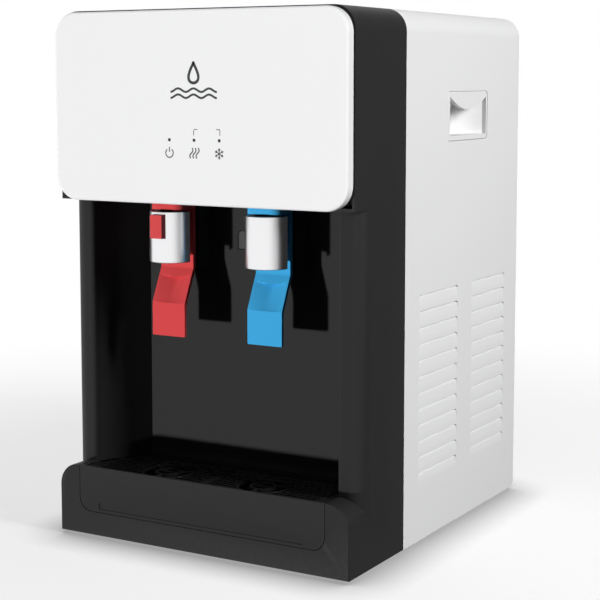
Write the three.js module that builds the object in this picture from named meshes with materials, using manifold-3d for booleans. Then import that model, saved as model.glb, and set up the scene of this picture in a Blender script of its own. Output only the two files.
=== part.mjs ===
// Countertop hot and cold water dispenser, plumbed in, with a compressor-cooled tank and a heated tank.
// Millimetres, +Z up, the front faces -Y. The origin is the middle of the base's footprint on the worktop.
// Inside the assembly group y counts back from the front plane of the base, so every depth reads from there.

import * as THREE from "three";
import { mergeVertices } from "three/addons/utils/BufferGeometryUtils.js";
import Module from "manifold-3d";

const wasm = await Module();
wasm.setup();

// ---- driving dimensions -------------------------------------------------------------------------------
const WIDTH = 305;
const HEIGHT = 483;
const DEPTH = 381;
const HALF = WIDTH / 2;
const FOOT_HEIGHT = 3;
const CORNER_R = 20; // rounded top edges of the casing
const WALL = 2.5; // moulded wall
const SHEET = 1.2; // sheet steel
const GAP = 0.3; // between pieces that touch

const SEAM_Y = 103.5; // black front moulding meets white casing
const CASE_BACK_Y = 360;
const REAR_PANEL_Y = 355;
const REAR_FACE_Y = REAR_PANEL_Y + SHEET + GAP; // where fittings seat on the rear panel

const HEAD_BOTTOM = 313;
const PANEL_DEPTH = 9;
const PANEL_HALF = 151.25;
const PANEL_TOP = 481.8;
const PANEL_CORNER_R = 22;

const COLUMN_FRONT_Y = 23.5;
const COLUMN_OUTER_R = 15.5;
const COLUMN_INNER_R = 4;
const COLUMN_INNER = 128.5;

const BAY_BACK_Y = 77;
const BAY_BACK_HALF = 102;
const BAY_MOUTH_Y = 30.3;
const BAY_CEILING = 318;

const LIP_TOP = 67.5;
const LIP_CORNER_R = 20;
const DECK_TOP = 64.8;
const TRAY_HALF = 129.6;
const TRAY_FASCIA_BOTTOM = 25.5;
const TRAY_CORNER_R = 12.5;
const BASIN_HALF = 115.5;
const GRILLE_HALF = 118;
const GRILLE_BACK_HALF = 107.5;
const GRILLE_FRONT_Y = 4;
const GRILLE_TAPER_Y = 44;
const GRILLE_BACK_Y = 65;
const GRILLE_TOP = 65.4;
const GRILLE_THICK = 2.6;
const WELL_ROOM = 0.8; // between the grille and the deck round it
const BAR_PITCH = 6;
const TARGET_SIDES = 20; // facets of the ring targets

const TAP_X = 51; // taps sit this far either side of the middle
const COVER_Y = 38.5; // axis of the half-round tap cover
const COVER_R = 20;
const COVER_WALL = 2;
const COVER_BOTTOM = 258;
const COVER_TOP = 304.3;
const PIVOT = { y: 37.5, z: 309.5 };
const BARREL_Y = 37; // axis of the valve barrel inside the cover
const BARREL_R = 9;
const LEVER_HALF = 17.6;
const ARM_Y0 = 47; // front and back of the lever's arm, behind the cover
const ARM_Y1 = 51;
const PAD_Y = 32.5; // front face of the lever's pad
const PAD_THICK = 3;
const PAD_BOTTOM = 190;
const FOLD_Z = 220.5; // where the pad folds back into the slope
const BRACKET_Y = 57.2; // front of the bracket behind the lever
const SPOUT_Y = 30;
const BUTTON_Y = 13.8; // front face of the lock button

const LOUVRE_ROWS = 12;
const LOUVRE_TOP_Z = 229.3;
const LOUVRE_PITCH = 14.8;
const LOUVRE_HEIGHT = 10.5;
const LOUVRE_DEPTH = 2.2;
const LOUVRE_COLUMNS = [[132, 216.5], [247.7, 329]];
const CASE_WALL = 2.8;
const CASE_HEEL = 5; // bevel at the bottom rear corners

const GRIP = { y0: 190, y1: 281, z0: 365, z1: 411, depth: 28 };
const GRIP_MOUTH = { y0: 195, y1: 278, z0: 370, z1: 406 };

// ---- colours and finishes -----------------------------------------------------------------------------
const finish = (color, roughness, metalness = 0) =>
  new THREE.MeshStandardMaterial({ color, roughness, metalness });
const whitePanel = finish(0xf3f3f4, 0.3);
const whiteCasing = finish(0xe4e4e6, 0.45);
const blackPlastic = finish(0x2e2e30, 0.35);
const blackDeep = finish(0x1c1c1e, 0.5);
const chrome = finish(0xd8dadc, 0.12, 1);
const red = finish(0xc93c3c, 0.35);
const blue = finish(0x3aa0d8, 0.35);
const rubber = finish(0x1a1a1a, 0.9);
const steel = finish(0xb4b6b8, 0.4, 1);
const zinc = finish(0x9da2a6, 0.5, 1);
const foam = finish(0xece9df, 0.95);
const copper = finish(0xb87048, 0.35, 1);
const wireBlack = finish(0x202124, 0.6, 0.3);
const board = finish(0x2f6b45, 0.6);
const hoseWhite = finish(0xe8ecec, 0.5);
const lens = finish(0x2a2c30, 0.2);

// ---- solids --------------------------------------------------------------------------------------------
/** A closed three.js geometry as a manifold solid. */
function solid(geometry) {
  const bare = geometry.index ? geometry.toNonIndexed() : geometry;
  bare.deleteAttribute("normal");
  bare.deleteAttribute("uv");
  const merged = mergeVertices(bare, 1e-4);
  return new wasm.Manifold(
    new wasm.Mesh({
      numProp: 3,
      vertProperties: merged.getAttribute("position").array,
      triVerts: new Uint32Array(merged.index.array),
    }),
  );
}

const join = (...parts) => parts.reduce((sum, part) => sum.add(part));
const cut = (body, ...tools) => tools.reduce((left, tool) => left.subtract(tool), body);

/** A box between two limits on each axis. */
function box(x0, x1, y0, y1, z0, z1) {
  const geometry = new THREE.BoxGeometry(x1 - x0, y1 - y0, z1 - z0);
  return solid(geometry.translate((x0 + x1) / 2, (y0 + y1) / 2, (z0 + z1) / 2));
}

/** A plan outline (x, y) raised from z0 to z1. */
function raise(shape, z0, z1, segments = 6) {
  const geometry = new THREE.ExtrudeGeometry(shape, {
    depth: z1 - z0,
    bevelEnabled: false,
    curveSegments: segments,
  });
  return solid(geometry.translate(0, 0, z0));
}

/** A front outline (x, z) carried back from y0 to y1. */
function carryBack(shape, y0, y1, segments = 6) {
  const geometry = new THREE.ExtrudeGeometry(shape, {
    depth: y1 - y0,
    bevelEnabled: false,
    curveSegments: segments,
  });
  return solid(geometry.rotateX(Math.PI / 2).translate(0, y1, 0));
}

/** The same with its front edge rounded over by the given radius. */
function carryBackRounded(shape, y0, y1, round, segments = 6) {
  const geometry = new THREE.ExtrudeGeometry(shape, {
    depth: y1 - y0,
    bevelThickness: round,
    bevelSize: round,
    bevelOffset: -round,
    bevelSegments: 2,
    curveSegments: segments,
  });
  const long = solid(geometry.rotateX(Math.PI / 2).translate(0, y1 + round, 0));
  return cut(long, box(-HALF - 1, HALF + 1, y1, y1 + 3 * round, -1, HEIGHT + 1));
}

/** A side outline (y, z) carried across from x0 to x1. */
function carryAcross(shape, x0, x1, segments = 6) {
  const geometry = new THREE.ExtrudeGeometry(shape, {
    depth: x1 - x0,
    bevelEnabled: false,
    curveSegments: segments,
  });
  const turned = geometry.rotateY(Math.PI / 2).rotateX(Math.PI / 2);
  return solid(turned.translate(x0, 0, 0));
}

/** A turned body on a vertical axis: profile is [radius, z] from the axis back to the axis. */
function turned(profile, x = 0, y = 0, segments = 18) {
  const points = profile.map(([r, z]) => new THREE.Vector2(r, z));
  const geometry = new THREE.LatheGeometry(points, segments);
  return solid(geometry.rotateX(Math.PI / 2).translate(x, y, 0));
}

/** A cylinder along "x", "y" or "z" from a to b. */
function rod(axis, radius, a, b, u, v, segments = 16) {
  const geometry = new THREE.CylinderGeometry(radius, radius, b - a, segments);
  const mid = (a + b) / 2;
  if (axis === "x") geometry.rotateZ(Math.PI / 2).translate(mid, u, v);
  if (axis === "y") geometry.translate(u, mid, v);
  if (axis === "z") geometry.rotateX(Math.PI / 2).translate(u, v, mid);
  return solid(geometry);
}

/** A round tube or wire along a smooth curve through points. */
function pipe(points, radius, steps, sides = 8) {
  const route = new THREE.CatmullRomCurve3(points.map((p) => new THREE.Vector3(...p)), false, "centripetal");
  const ring = new THREE.Shape();
  for (let i = 0; i < sides; i++) {
    const angle = (2 * Math.PI * i) / sides;
    const at = [radius * Math.cos(angle), radius * Math.sin(angle)];
    if (i === 0) ring.moveTo(...at);
    else ring.lineTo(...at);
  }
  return solid(new THREE.ExtrudeGeometry(ring, { steps, extrudePath: route, bevelEnabled: false }));
}

/** A closed outline through straight-line points. */
function outline(points) {
  return new THREE.Shape(points.map(([u, v]) => new THREE.Vector2(u, v)));
}

/** A rectangle with its own radius at the lower and the upper corners. */
function plate(u0, u1, v0, v1, lowR, topR) {
  const s = new THREE.Shape();
  s.moveTo(u0 + lowR, v0);
  s.lineTo(u1 - lowR, v0);
  if (lowR) s.absarc(u1 - lowR, v0 + lowR, lowR, -Math.PI / 2, 0, false);
  s.lineTo(u1, v1 - topR);
  if (topR) s.absarc(u1 - topR, v1 - topR, topR, 0, Math.PI / 2, false);
  s.lineTo(u0 + topR, v1);
  if (topR) s.absarc(u0 + topR, v1 - topR, topR, Math.PI / 2, Math.PI, false);
  s.lineTo(u0, v0 + lowR);
  if (lowR) s.absarc(u0 + lowR, v0 + lowR, lowR, Math.PI, 1.5 * Math.PI, false);
  return s;
}

/** The casing's arch seen from the front: outer size less the inset, standing on zBottom. */
function arch(inset, zBottom) {
  const r = CORNER_R - inset;
  return plate(-HALF + inset, HALF - inset, zBottom, HEIGHT - inset, 0, r);
}

/** The same body on the right and, mirrored, on the left. */
const both = (body) => body.add(body.mirror([1, 0, 0]));

// ---- the assembly --------------------------------------------------------------------------------------
const dispenser = new THREE.Group();
const assembly = new THREE.Group();
assembly.position.y = -DEPTH / 2;
dispenser.add(assembly);

/** Adds one named piece made of one solid, with its origin moved to its own working point. */
function piece(name, body, material, origin = [0, 0, 0], parent = assembly) {
  const mesh = body.translate(origin.map((c) => -c)).getMesh();
  const geometry = new THREE.BufferGeometry();
  geometry.setAttribute("position", new THREE.BufferAttribute(new Float32Array(mesh.vertProperties), 3));
  geometry.setIndex(new THREE.BufferAttribute(new Uint32Array(mesh.triVerts), 1));
  geometry.computeVertexNormals();
  const made = new THREE.Mesh(geometry, material);
  made.name = name;
  made.position.set(...origin);
  parent.add(made);
  return made;
}

// ---- black front moulding ------------------------------------------------------------------------------
/** Plan of one column: outer wall, rounded corner, front face, small inner corner and a short return. */
function columnPlan() {
  const s = new THREE.Shape();
  const outerX = HALF - COLUMN_OUTER_R;
  const outerY = COLUMN_FRONT_Y + COLUMN_OUTER_R;
  const innerX = COLUMN_INNER + COLUMN_INNER_R;
  const innerY = COLUMN_FRONT_Y + COLUMN_INNER_R;
  s.moveTo(HALF, outerY + 1);
  s.lineTo(HALF - WALL, outerY + 1);
  s.lineTo(HALF - WALL, outerY);
  s.absarc(outerX, outerY, COLUMN_OUTER_R - WALL, 0, -Math.PI / 2, true);
  s.lineTo(innerX, COLUMN_FRONT_Y + WALL);
  s.absarc(innerX, innerY, COLUMN_INNER_R - WALL, -Math.PI / 2, -Math.PI, true);
  s.lineTo(COLUMN_INNER + WALL, BAY_MOUTH_Y - GAP);
  s.lineTo(COLUMN_INNER, BAY_MOUTH_Y - GAP);
  s.lineTo(COLUMN_INNER, innerY);
  s.absarc(innerX, innerY, COLUMN_INNER_R, Math.PI, 1.5 * Math.PI, false);
  s.lineTo(outerX, COLUMN_FRONT_Y);
  s.absarc(outerX, outerY, COLUMN_OUTER_R, -Math.PI / 2, 0, false);
  return s;
}

/** Base bumper: a rounded-top block, hollow from below and behind, open in front for the tray. */
function bumper() {
  const z0 = FOOT_HEIGHT;
  const block = carryBackRounded(plate(-HALF, HALF, z0, LIP_TOP, 0, LIP_CORNER_R), 0, 40, 1.5, 5);
  const inside = plate(-HALF + WALL, HALF - WALL, z0 - 1, LIP_TOP - WALL, 0, LIP_CORNER_R - WALL);
  const hollow = carryBack(inside, WALL, 41, 5);
  const half = TRAY_HALF + 0.4;
  const mouth = plate(-half, half, TRAY_FASCIA_BOTTOM - 0.4, LIP_TOP + 5, TRAY_CORNER_R, 0);
  const behind = box(-half, half, 2, 41, TRAY_FASCIA_BOTTOM + 12, LIP_TOP + 5);
  return cut(block, hollow, carryBack(mouth, -1, 5, 5), behind);
}

/** One moulding: arch over the top and sides, two columns, head surround and base bumper. */
function frontFrame() {
  const headFront = PANEL_DEPTH + GAP;
  const sideFront = COLUMN_FRONT_Y + COLUMN_OUTER_R;
  const headInner = carryBack(arch(WALL, HEAD_BOTTOM + WALL), headFront - 1, sideFront + 1);
  const head = cut(carryBack(arch(0, HEAD_BOTTOM), headFront, sideFront + 0.5), headInner);
  const band = cut(
    carryBack(arch(0, FOOT_HEIGHT), sideFront, SEAM_Y),
    carryBack(arch(WALL, FOOT_HEIGHT - 1), sideFront - 1, SEAM_Y + 1),
  );
  const tapWindow = box(-BAY_BACK_HALF, BAY_BACK_HALF, 26, 60, HEAD_BOTTOM - 1, HEAD_BOTTOM + WALL + 1);
  const linerHalf = COLUMN_INNER + WALL + 0.5;
  const linerTop = box(-linerHalf, linerHalf, BAY_MOUTH_Y - GAP, 60, HEAD_BOTTOM - 1, HEAD_BOTTOM + WALL + 1);
  const linerFoot = box(-linerHalf, linerHalf, BAY_MOUTH_Y - GAP, 60, DECK_TOP - 3, LIP_TOP + 1);
  const column = raise(columnPlan(), FOOT_HEIGHT + 20, HEAD_BOTTOM + 1);
  return cut(join(head, band, both(column), bumper()), tapWindow, linerTop, linerFoot);
}
piece("front_frame", frontFrame(), blackPlastic);

// ---- white front panel with its indicator lights --------------------------------------------------------
const INDICATOR_Z = 369.6;
const INDICATORS = { power: -25.6, hot: 0.2, cold: 26 };

function frontPanel() {
  const edge = plate(-PANEL_HALF, PANEL_HALF, HEAD_BOTTOM, PANEL_TOP, PANEL_CORNER_R, PANEL_CORNER_R);
  const inner = plate(
    -PANEL_HALF + WALL, PANEL_HALF - WALL, HEAD_BOTTOM + WALL, PANEL_TOP - WALL,
    PANEL_CORNER_R - WALL, PANEL_CORNER_R - WALL,
  );
  const shell = cut(carryBackRounded(edge, 0, PANEL_DEPTH, 2), carryBack(inner, WALL, PANEL_DEPTH + 1));
  const holes = Object.values(INDICATORS).map((x) => rod("y", 1.9, -1, WALL + 1, x, INDICATOR_Z, 12));
  return cut(shell, ...holes);
}
piece("front_panel", frontPanel(), whitePanel);

for (const [name, x] of Object.entries(INDICATORS)) {
  const barrel = rod("y", 1.6, 0.1, WALL, x, INDICATOR_Z, 12);
  const flange = rod("y", 2.6, WALL + GAP, 3.8, x, INDICATOR_Z, 12);
  const neck = rod("y", 1.6, WALL - 0.1, WALL + GAP + 0.1, x, INDICATOR_Z, 12);
  piece(`indicator_${name}`, join(barrel, neck, flange), lens, [x, 0, INDICATOR_Z]);
}

function controlBoard() {
  const sheet = box(-48, 48, 5.6, 7.2, 348, 392);
  const chip = box(-12, 4, 7.1, 8.6, 352, 362);
  const socket = box(22, 40, 7.1, 14, 376, 388);
  const lamps = Object.values(INDICATORS).map((x) => rod("y", 1.5, 4.2, 5.8, x, INDICATOR_Z, 10));
  return join(sheet, chip, socket, ...lamps);
}
piece("control_board", controlBoard(), board);

// ---- dispensing bay -------------------------------------------------------------------------------------
/** Half-width of the bay's flared side walls at depth y. */
function bayHalf(y) {
  const share = (y - BAY_MOUTH_Y) / (BAY_BACK_Y - BAY_MOUTH_Y);
  return COLUMN_INNER + (BAY_BACK_HALF - COLUMN_INNER) * share;
}

/** Back wall, flared side walls and ceiling of the bay. */
function recessLiner() {
  const back = BAY_BACK_Y;
  const front = BAY_MOUTH_Y;
  const wall = outline([
    [COLUMN_INNER, front], [BAY_BACK_HALF, back], [-BAY_BACK_HALF, back], [-COLUMN_INNER, front],
    [-COLUMN_INNER - 2.6, front], [-BAY_BACK_HALF - 1.5, back + WALL],
    [BAY_BACK_HALF + 1.5, back + WALL], [COLUMN_INNER + 2.6, front],
  ]);
  const roof = outline([
    [COLUMN_INNER + 1, front], [BAY_BACK_HALF + 1, back + 1],
    [-BAY_BACK_HALF - 1, back + 1], [-COLUMN_INNER - 1, front],
  ]);
  const cove = outline([
    [back - 9, DECK_TOP + GAP], [back + 0.5, DECK_TOP + GAP], [back + 0.5, DECK_TOP + 10],
    [back, DECK_TOP + 10], [back - 1.6, DECK_TOP + 4.6], [back - 4.4, DECK_TOP + 1.8],
  ]);
  const walls = raise(wall, DECK_TOP + GAP, BAY_CEILING + WALL);
  const ceiling = raise(roof, BAY_CEILING, BAY_CEILING + WALL);
  const feeds = [-TAP_X, TAP_X].map((x) => rod("y", 5, back - 5, back + 5, x, 300, 12));
  const lamp = carryBack(plate(-4.4, 4.4, 267.6, 285, 0, 4.4), back - 1, back + 5);
  return cut(
    join(walls, ceiling, carryAcross(cove, -BAY_BACK_HALF, BAY_BACK_HALF)),
    ...feeds,
    lamp,
  );
}
piece("recess_liner", recessLiner(), blackPlastic);

const nightLight = join(
  carryBack(plate(-4.1, 4.1, 268, 284.7, 0, 4.1), BAY_BACK_Y + 0.4, BAY_BACK_Y + 3.2),
  box(-7, 7, BAY_BACK_Y + WALL + GAP, BAY_BACK_Y + 5, 264, 290),
);
piece("night_light", nightLight, lens);

/** Grille outline, grown or shrunk by offset, starting at yFront. */
function grillePlan(offset, yFront) {
  const wide = GRILLE_HALF + offset;
  const back = GRILLE_BACK_HALF + offset;
  return outline([
    [-wide, yFront], [wide, yFront], [wide, GRILLE_TAPER_Y + offset * 0.4],
    [back, GRILLE_BACK_Y + offset], [-back, GRILLE_BACK_Y + offset], [-wide, GRILLE_TAPER_Y + offset * 0.4],
  ]);
}

/** Deck round the grille with the well that the tray slides into. */
function trayWell() {
  const front = 3.2;
  const deckBack = BAY_BACK_Y - 0.4;
  const backHalf = bayHalf(deckBack) + 0.5;
  const deck = outline([
    [-TRAY_HALF, front], [TRAY_HALF, front], [TRAY_HALF, BAY_MOUTH_Y - 8], [backHalf, deckBack],
    [-backHalf, deckBack], [-TRAY_HALF, BAY_MOUTH_Y - 8],
  ]);
  const inside = GRILLE_HALF + WELL_ROOM;
  const wellBack = GRILLE_BACK_Y + WELL_ROOM;
  const well = cut(
    box(-inside - WALL, inside + WALL, front, wellBack + WALL, 26, DECK_TOP - 2.2),
    box(-inside, inside, front - 1, wellBack, 28, DECK_TOP + 1),
  );
  const opening = raise(grillePlan(WELL_ROOM, front - 1), DECK_TOP - WALL - 1, DECK_TOP + 1);
  return cut(join(raise(deck, DECK_TOP - WALL, DECK_TOP), well), opening);
}
piece("tray_well", trayWell(), blackDeep);

/** Sliding tray: fascia flush in the bumper, pull groove, and a basin behind it. */
function dripTray() {
  const fascia = carryBack(
    plate(-TRAY_HALF, TRAY_HALF, TRAY_FASCIA_BOTTOM, LIP_TOP, TRAY_CORNER_R, 0), 0, 2.8, 5,
  );
  const groove = box(-108, 108, -1, 0.9, 28.5, 34.3);
  const basin = cut(
    box(-BASIN_HALF, BASIN_HALF, 2.7, 64.6, 28.4, 61.6),
    box(-BASIN_HALF + 2, BASIN_HALF - 2, 4.7, 62.6, 30.4, 63),
  );
  return join(cut(fascia, groove), basin);
}
piece("drip_tray", dripTray(), blackPlastic);

/** Grille: rim, cross bars, a spine, and a ring target under each spout. */
function dripGrille() {
  const z1 = GRILLE_TOP;
  const z0 = z1 - GRILLE_THICK;
  const outer = raise(grillePlan(0, GRILLE_FRONT_Y), z0, z1);
  const inner = raise(grillePlan(-3, GRILLE_FRONT_Y + 3), z0 - 1, z1 + 1);
  const bars = [];
  for (let y = GRILLE_FRONT_Y + BAR_PITCH + 0.6; y < GRILLE_BACK_Y - 4; y += BAR_PITCH) {
    bars.push(box(-GRILLE_HALF, GRILLE_HALF, y - 1.2, y + 1.2, z0 + 0.4, z1 - 0.2));
  }
  const spine = box(-3, 3, GRILLE_FRONT_Y + 1, GRILLE_BACK_Y - 1, z0, z1);
  const lattice = join(...bars).intersect(raise(grillePlan(-1, GRILLE_FRONT_Y + 1), z0, z1));
  const targets = [-TAP_X, TAP_X].map((x) => rod("z", 23, z0 - 1, z1 + 1, x, SPOUT_Y, TARGET_SIDES));
  const ring = (x, r, w) =>
    cut(
      rod("z", r, z0, z1, x, SPOUT_Y, TARGET_SIDES),
      rod("z", r - w, z0 - 1, z1 + 1, x, SPOUT_Y, TARGET_SIDES),
    );
  const spokes = (x) =>
    [30, 150, 270].map((deg) => {
      const arm = box(11, 23.5, -1.2, 1.2, z0 + 0.2, z1 - 0.2);
      return arm.rotate([0, 0, deg]).translate([x, SPOUT_Y, 0]);
    });
  const rings = [-TAP_X, TAP_X].flatMap((x) => [ring(x, 24.5, 2), ring(x, 12.5, 2.4), ...spokes(x)]);
  const cross = (x) => box(x - 11, x + 11, SPOUT_Y - 1, SPOUT_Y + 1, z0 + 0.4, z1 - 0.4);
  const webs = join(spine, lattice);
  return join(cut(outer, inner), cut(webs, ...targets), ...rings, cross(-TAP_X), cross(TAP_X));
}
piece("drip_grille", dripGrille(), blackDeep);

// ---- the two taps ---------------------------------------------------------------------------------------
/** Half-round cover, open behind; the hot one has a window for the lock button. */
function tapCover(withWindow) {
  const outerRing = rod("z", COVER_R, COVER_BOTTOM, COVER_TOP, 0, COVER_Y, 40);
  const innerRing = rod("z", COVER_R - COVER_WALL, COVER_BOTTOM - 1, COVER_TOP + 1, 0, COVER_Y, 40);
  const backHalf = box(-30, 30, COVER_Y + 0.8, 70, 240, 320);
  const web = box(-COVER_R + 1, COVER_R - 1, COVER_Y - 1.4, COVER_Y + 0.8, 270, 290);
  const barrelHole = rod("z", BARREL_R + 0.4, 250, 310, 0, BARREL_Y, 24);
  const shell = join(cut(outerRing, innerRing, backHalf), cut(web, barrelHole));
  return withWindow ? cut(shell, box(-6.6, 6.6, 5, 25, 280, 302)) : shell;
}

/** Valve barrel with a short spout inside the cover and a neck up to the bay's ceiling. */
function tapBody() {
  const r = BARREL_R;
  const barrel = turned([[0, 268], [r, 268], [r, 300], [r - 1, 302.6], [0, 302.6]], 0, BARREL_Y);
  const spout = turned([[0, 260], [4, 260], [5.5, 261.5], [6, 268.5], [0, 268.5]], 0, SPOUT_Y + 1, 16);
  const bore = rod("z", 3, 255, 268, 0, SPOUT_Y + 1, 10);
  const neck = box(-9.4, 9.4, 32.2, 42.8, 300, BAY_CEILING - GAP);
  const pinHole = rod("x", 1.9, -15, 15, PIVOT.y, PIVOT.z, 12);
  return cut(join(barrel, spout, neck), bore, pinHole);
}

/** Lever: collar round the neck, arm behind the barrel, slope with a rib behind it, and a flat pad. */
function tapLever() {
  const collar = cut(
    raise(plate(-LEVER_HALF, LEVER_HALF, 27, ARM_Y1, 6, 0), 305.2, 314),
    box(-11, 11, 30, 46, 300, 320),
  );
  const arm = box(-LEVER_HALF, LEVER_HALF, ARM_Y0, ARM_Y1, 255, 306);
  const padBack = PAD_Y + PAD_THICK;
  const slope = carryAcross(outline([
    [ARM_Y1, 257], [ARM_Y0, 257], [PAD_Y, FOLD_Z], [PAD_Y, FOLD_Z - 3], [padBack, FOLD_Z - 3],
  ]), -LEVER_HALF, LEVER_HALF);
  const rib = carryAcross(outline([
    [ARM_Y1, 250], [ARM_Y0, 256], [PAD_Y + 1, FOLD_Z], [padBack, FOLD_Z - 4], [padBack + 3, FOLD_Z],
  ]), -12, 12);
  const scoop = carryAcross(outline([
    [ARM_Y0 - 1, 252], [ARM_Y0 - 1, 262], [30, 262], [30, FOLD_Z + 2], [PAD_Y + 2.6, FOLD_Z + 2],
  ]), -7, 7);
  const pad = box(-LEVER_HALF, LEVER_HALF, PAD_Y, padBack, PAD_BOTTOM, FOLD_Z);
  const pinHole = rod("x", 1.9, -30, 30, PIVOT.y, PIVOT.z, 12);
  return cut(join(collar, arm, cut(join(slope, rib), scoop), pad), pinHole);
}

function tapBracket() {
  const half = LEVER_HALF + 0.3;
  const block = box(-half, half, BRACKET_Y, BAY_BACK_Y - 0.4, 250, BAY_CEILING - GAP);
  return cut(block, rod("y", 4, 50, 90, 0, 300, 12));
}

const TAPS = [
  { name: "hot", x: -TAP_X, colour: red },
  { name: "cold", x: TAP_X, colour: blue },
];
for (const tap of TAPS) {
  const group = new THREE.Group();
  group.position.x = tap.x;
  assembly.add(group);
  const hinge = [0, PIVOT.y, PIVOT.z];
  piece(`${tap.name}_tap_cover`, tapCover(tap.name === "hot"), chrome, [0, COVER_Y, COVER_BOTTOM], group);
  piece(`${tap.name}_tap_body`, tapBody(), blackPlastic, [0, COVER_Y, COVER_BOTTOM], group);
  piece(`${tap.name}_lever`, tapLever(), tap.colour, hinge, group);
  const pin = rod("x", 1.5, 0.6 - LEVER_HALF, LEVER_HALF - 0.6, PIVOT.y, PIVOT.z, 12);
  piece(`${tap.name}_lever_pin`, pin, steel, hinge, group);
  piece(`${tap.name}_tap_bracket`, tapBracket(), blackDeep, [0, BAY_BACK_Y, COVER_BOTTOM], group);
}

const lockButton = join(
  box(-6.2, 6.2, BUTTON_Y, 23, 280.5, 301.5),
  box(-8.4, 8.4, 22.9, 24.3, 281.5, 300.5),
);
piece("hot_lock_button", lockButton.translate([-TAP_X, 0, 0]), red, [-TAP_X, BUTTON_Y, 291]);

// ---- white casing ---------------------------------------------------------------------------------------
/** One louvre cutter: deepest at its sharp top edge, running out flush at its foot, top corners rounded. */
function louvre(y0, y1, zTop) {
  const z0 = zTop - LOUVRE_HEIGHT;
  const proud = 0.6;
  const geometry = new THREE.ExtrudeGeometry(plate(y0, y1, z0, zTop, 0, 4), {
    depth: 1,
    bevelEnabled: false,
    curveSegments: 1,
  });
  const position = geometry.getAttribute("position");
  for (let i = 0; i < position.count; i++) {
    const [y, z, side] = [position.getX(i), position.getY(i), position.getZ(i)];
    const depth = (LOUVRE_DEPTH * (z - z0)) / LOUVRE_HEIGHT;
    position.setXYZ(i, side > 0.5 ? HALF + proud : HALF - Math.max(depth, 0.001), y, z);
  }
  return solid(geometry);
}

/** Arch-shaped casing over the sides and top, with louvre grooves and openings for the grips. */
function caseWrap() {
  const outer = carryBack(arch(0, FOOT_HEIGHT), SEAM_Y + GAP, CASE_BACK_Y);
  const inner = carryBack(arch(CASE_WALL, FOOT_HEIGHT - 1), SEAM_Y - 1, CASE_BACK_Y + 1);
  const louvres = [];
  for (const [y0, y1] of LOUVRE_COLUMNS) {
    for (let row = 0; row < LOUVRE_ROWS; row++) {
      louvres.push(louvre(y0, y1, LOUVRE_TOP_Z - row * LOUVRE_PITCH));
    }
  }
  const gripWindow = box(HALF - 10, HALF + 5, GRIP.y0, GRIP.y1, GRIP.z0, GRIP.z1);
  const heel = carryAcross(outline([
    [CASE_BACK_Y - CASE_HEEL, FOOT_HEIGHT], [CASE_BACK_Y - CASE_HEEL, 0], [CASE_BACK_Y + 1, 0],
    [CASE_BACK_Y + 1, FOOT_HEIGHT + CASE_HEEL + 1],
  ]), -HALF - 1, HALF + 1);
  return cut(outer, inner, heel, both(join(gripWindow, ...louvres)));
}
piece("casing", caseWrap(), whiteCasing);

/** Carrying grip: bezel, mouth with a hanging lip, and a rounded finger pocket. Drawn for the right side. */
function sideGrip() {
  const g = GRIP;
  const m = GRIP_MOUTH;
  const mid = (m.y0 + m.y1) / 2;
  const bezel = box(HALF - CASE_WALL - 1.6, HALF - 0.2, g.y0 + GAP, g.y1 - GAP, g.z0 + GAP, g.z1 - GAP);
  const shell = box(HALF - g.depth, HALF - 1, g.y0 + 2, g.y1 - 2, g.z0 + 2, g.z1 - 2);
  const mouth = new THREE.Shape();
  mouth.moveTo(m.y0, m.z0);
  mouth.lineTo(m.y1, m.z0);
  mouth.lineTo(m.y1, m.z1);
  mouth.quadraticCurveTo(mid, m.z1 - 24, m.y0, m.z1);
  const door = carryAcross(mouth, HALF - 4, HALF + 2, 10);
  const pocket = new THREE.Shape();
  pocket.moveTo(HALF - 3, m.y0);
  pocket.lineTo(HALF - 3, m.y1);
  pocket.quadraticCurveTo(HALF - g.depth * 1.7, mid, HALF - 3, m.y0);
  return cut(join(bezel, shell), door, raise(pocket, m.z0, m.z1, 10));
}
piece("grip_right", sideGrip(), whiteCasing);
piece("grip_left", sideGrip().mirror([1, 0, 0]), whiteCasing);

/** Steel floor of the cabinet, slotted under the compressor. */
function basePlate() {
  const half = HALF - CASE_WALL - 0.4;
  const bottom = FOOT_HEIGHT + 0.2;
  const sheet = box(-half, half, WALL + 0.5, REAR_PANEL_Y - 3, bottom, bottom + SHEET);
  const slots = [];
  for (let x = -60; x <= 60; x += 20) slots.push(box(x - 3, x + 3, 120, 190, 0, 10));
  return cut(sheet, ...slots);
}
piece("base_plate", basePlate(), zinc);

const FEET = {
  front_left: [-125, 25],
  front_right: [125, 25],
  rear_left: [-125, 335],
  rear_right: [125, 335],
};
for (const [name, [x, y]] of Object.entries(FEET)) {
  piece(`foot_${name}`, turned([[0, 0], [10, 0], [12, 1], [12, 2.9], [0, 2.9]], x, y, 20), rubber, [x, y, 0]);
}

// ---- rear panel and what is mounted on it ----------------------------------------------------------------
const FITTING_X = 112; // column of fittings beside the condenser
const SWITCH_Z = 395;
const SWITCHES = { hot: SWITCH_Z + 26, cold: SWITCH_Z, light: SWITCH_Z - 26 };
const INLET_Z = 118;
const GLAND_Z = 62;
const DRAINS = { hot: -30, cold: 24 };
const DRAIN_Z = 34;

function rearPanel() {
  const sheet = carryBack(arch(CASE_WALL + GAP, FOOT_HEIGHT + 2.5), REAR_PANEL_Y, REAR_PANEL_Y + SHEET);
  const switchWindow = box(FITTING_X - 13, FITTING_X + 13, 350, 360, SWITCH_Z - 42, SWITCH_Z + 42);
  const holes = [
    rod("y", 8.4, 350, 360, FITTING_X, INLET_Z, 20),
    rod("y", 8.4, 350, 360, FITTING_X, GLAND_Z, 20),
    ...Object.values(DRAINS).map((x) => rod("y", 7.4, 350, 360, x, DRAIN_Z, 20)),
  ];
  const slots = [];
  for (let z = 448; z <= 464; z += 8) slots.push(box(-90, 60, 350, 360, z, z + 3));
  return cut(sheet, switchWindow, ...holes, ...slots);
}
piece("rear_panel", rearPanel(), zinc);

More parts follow.
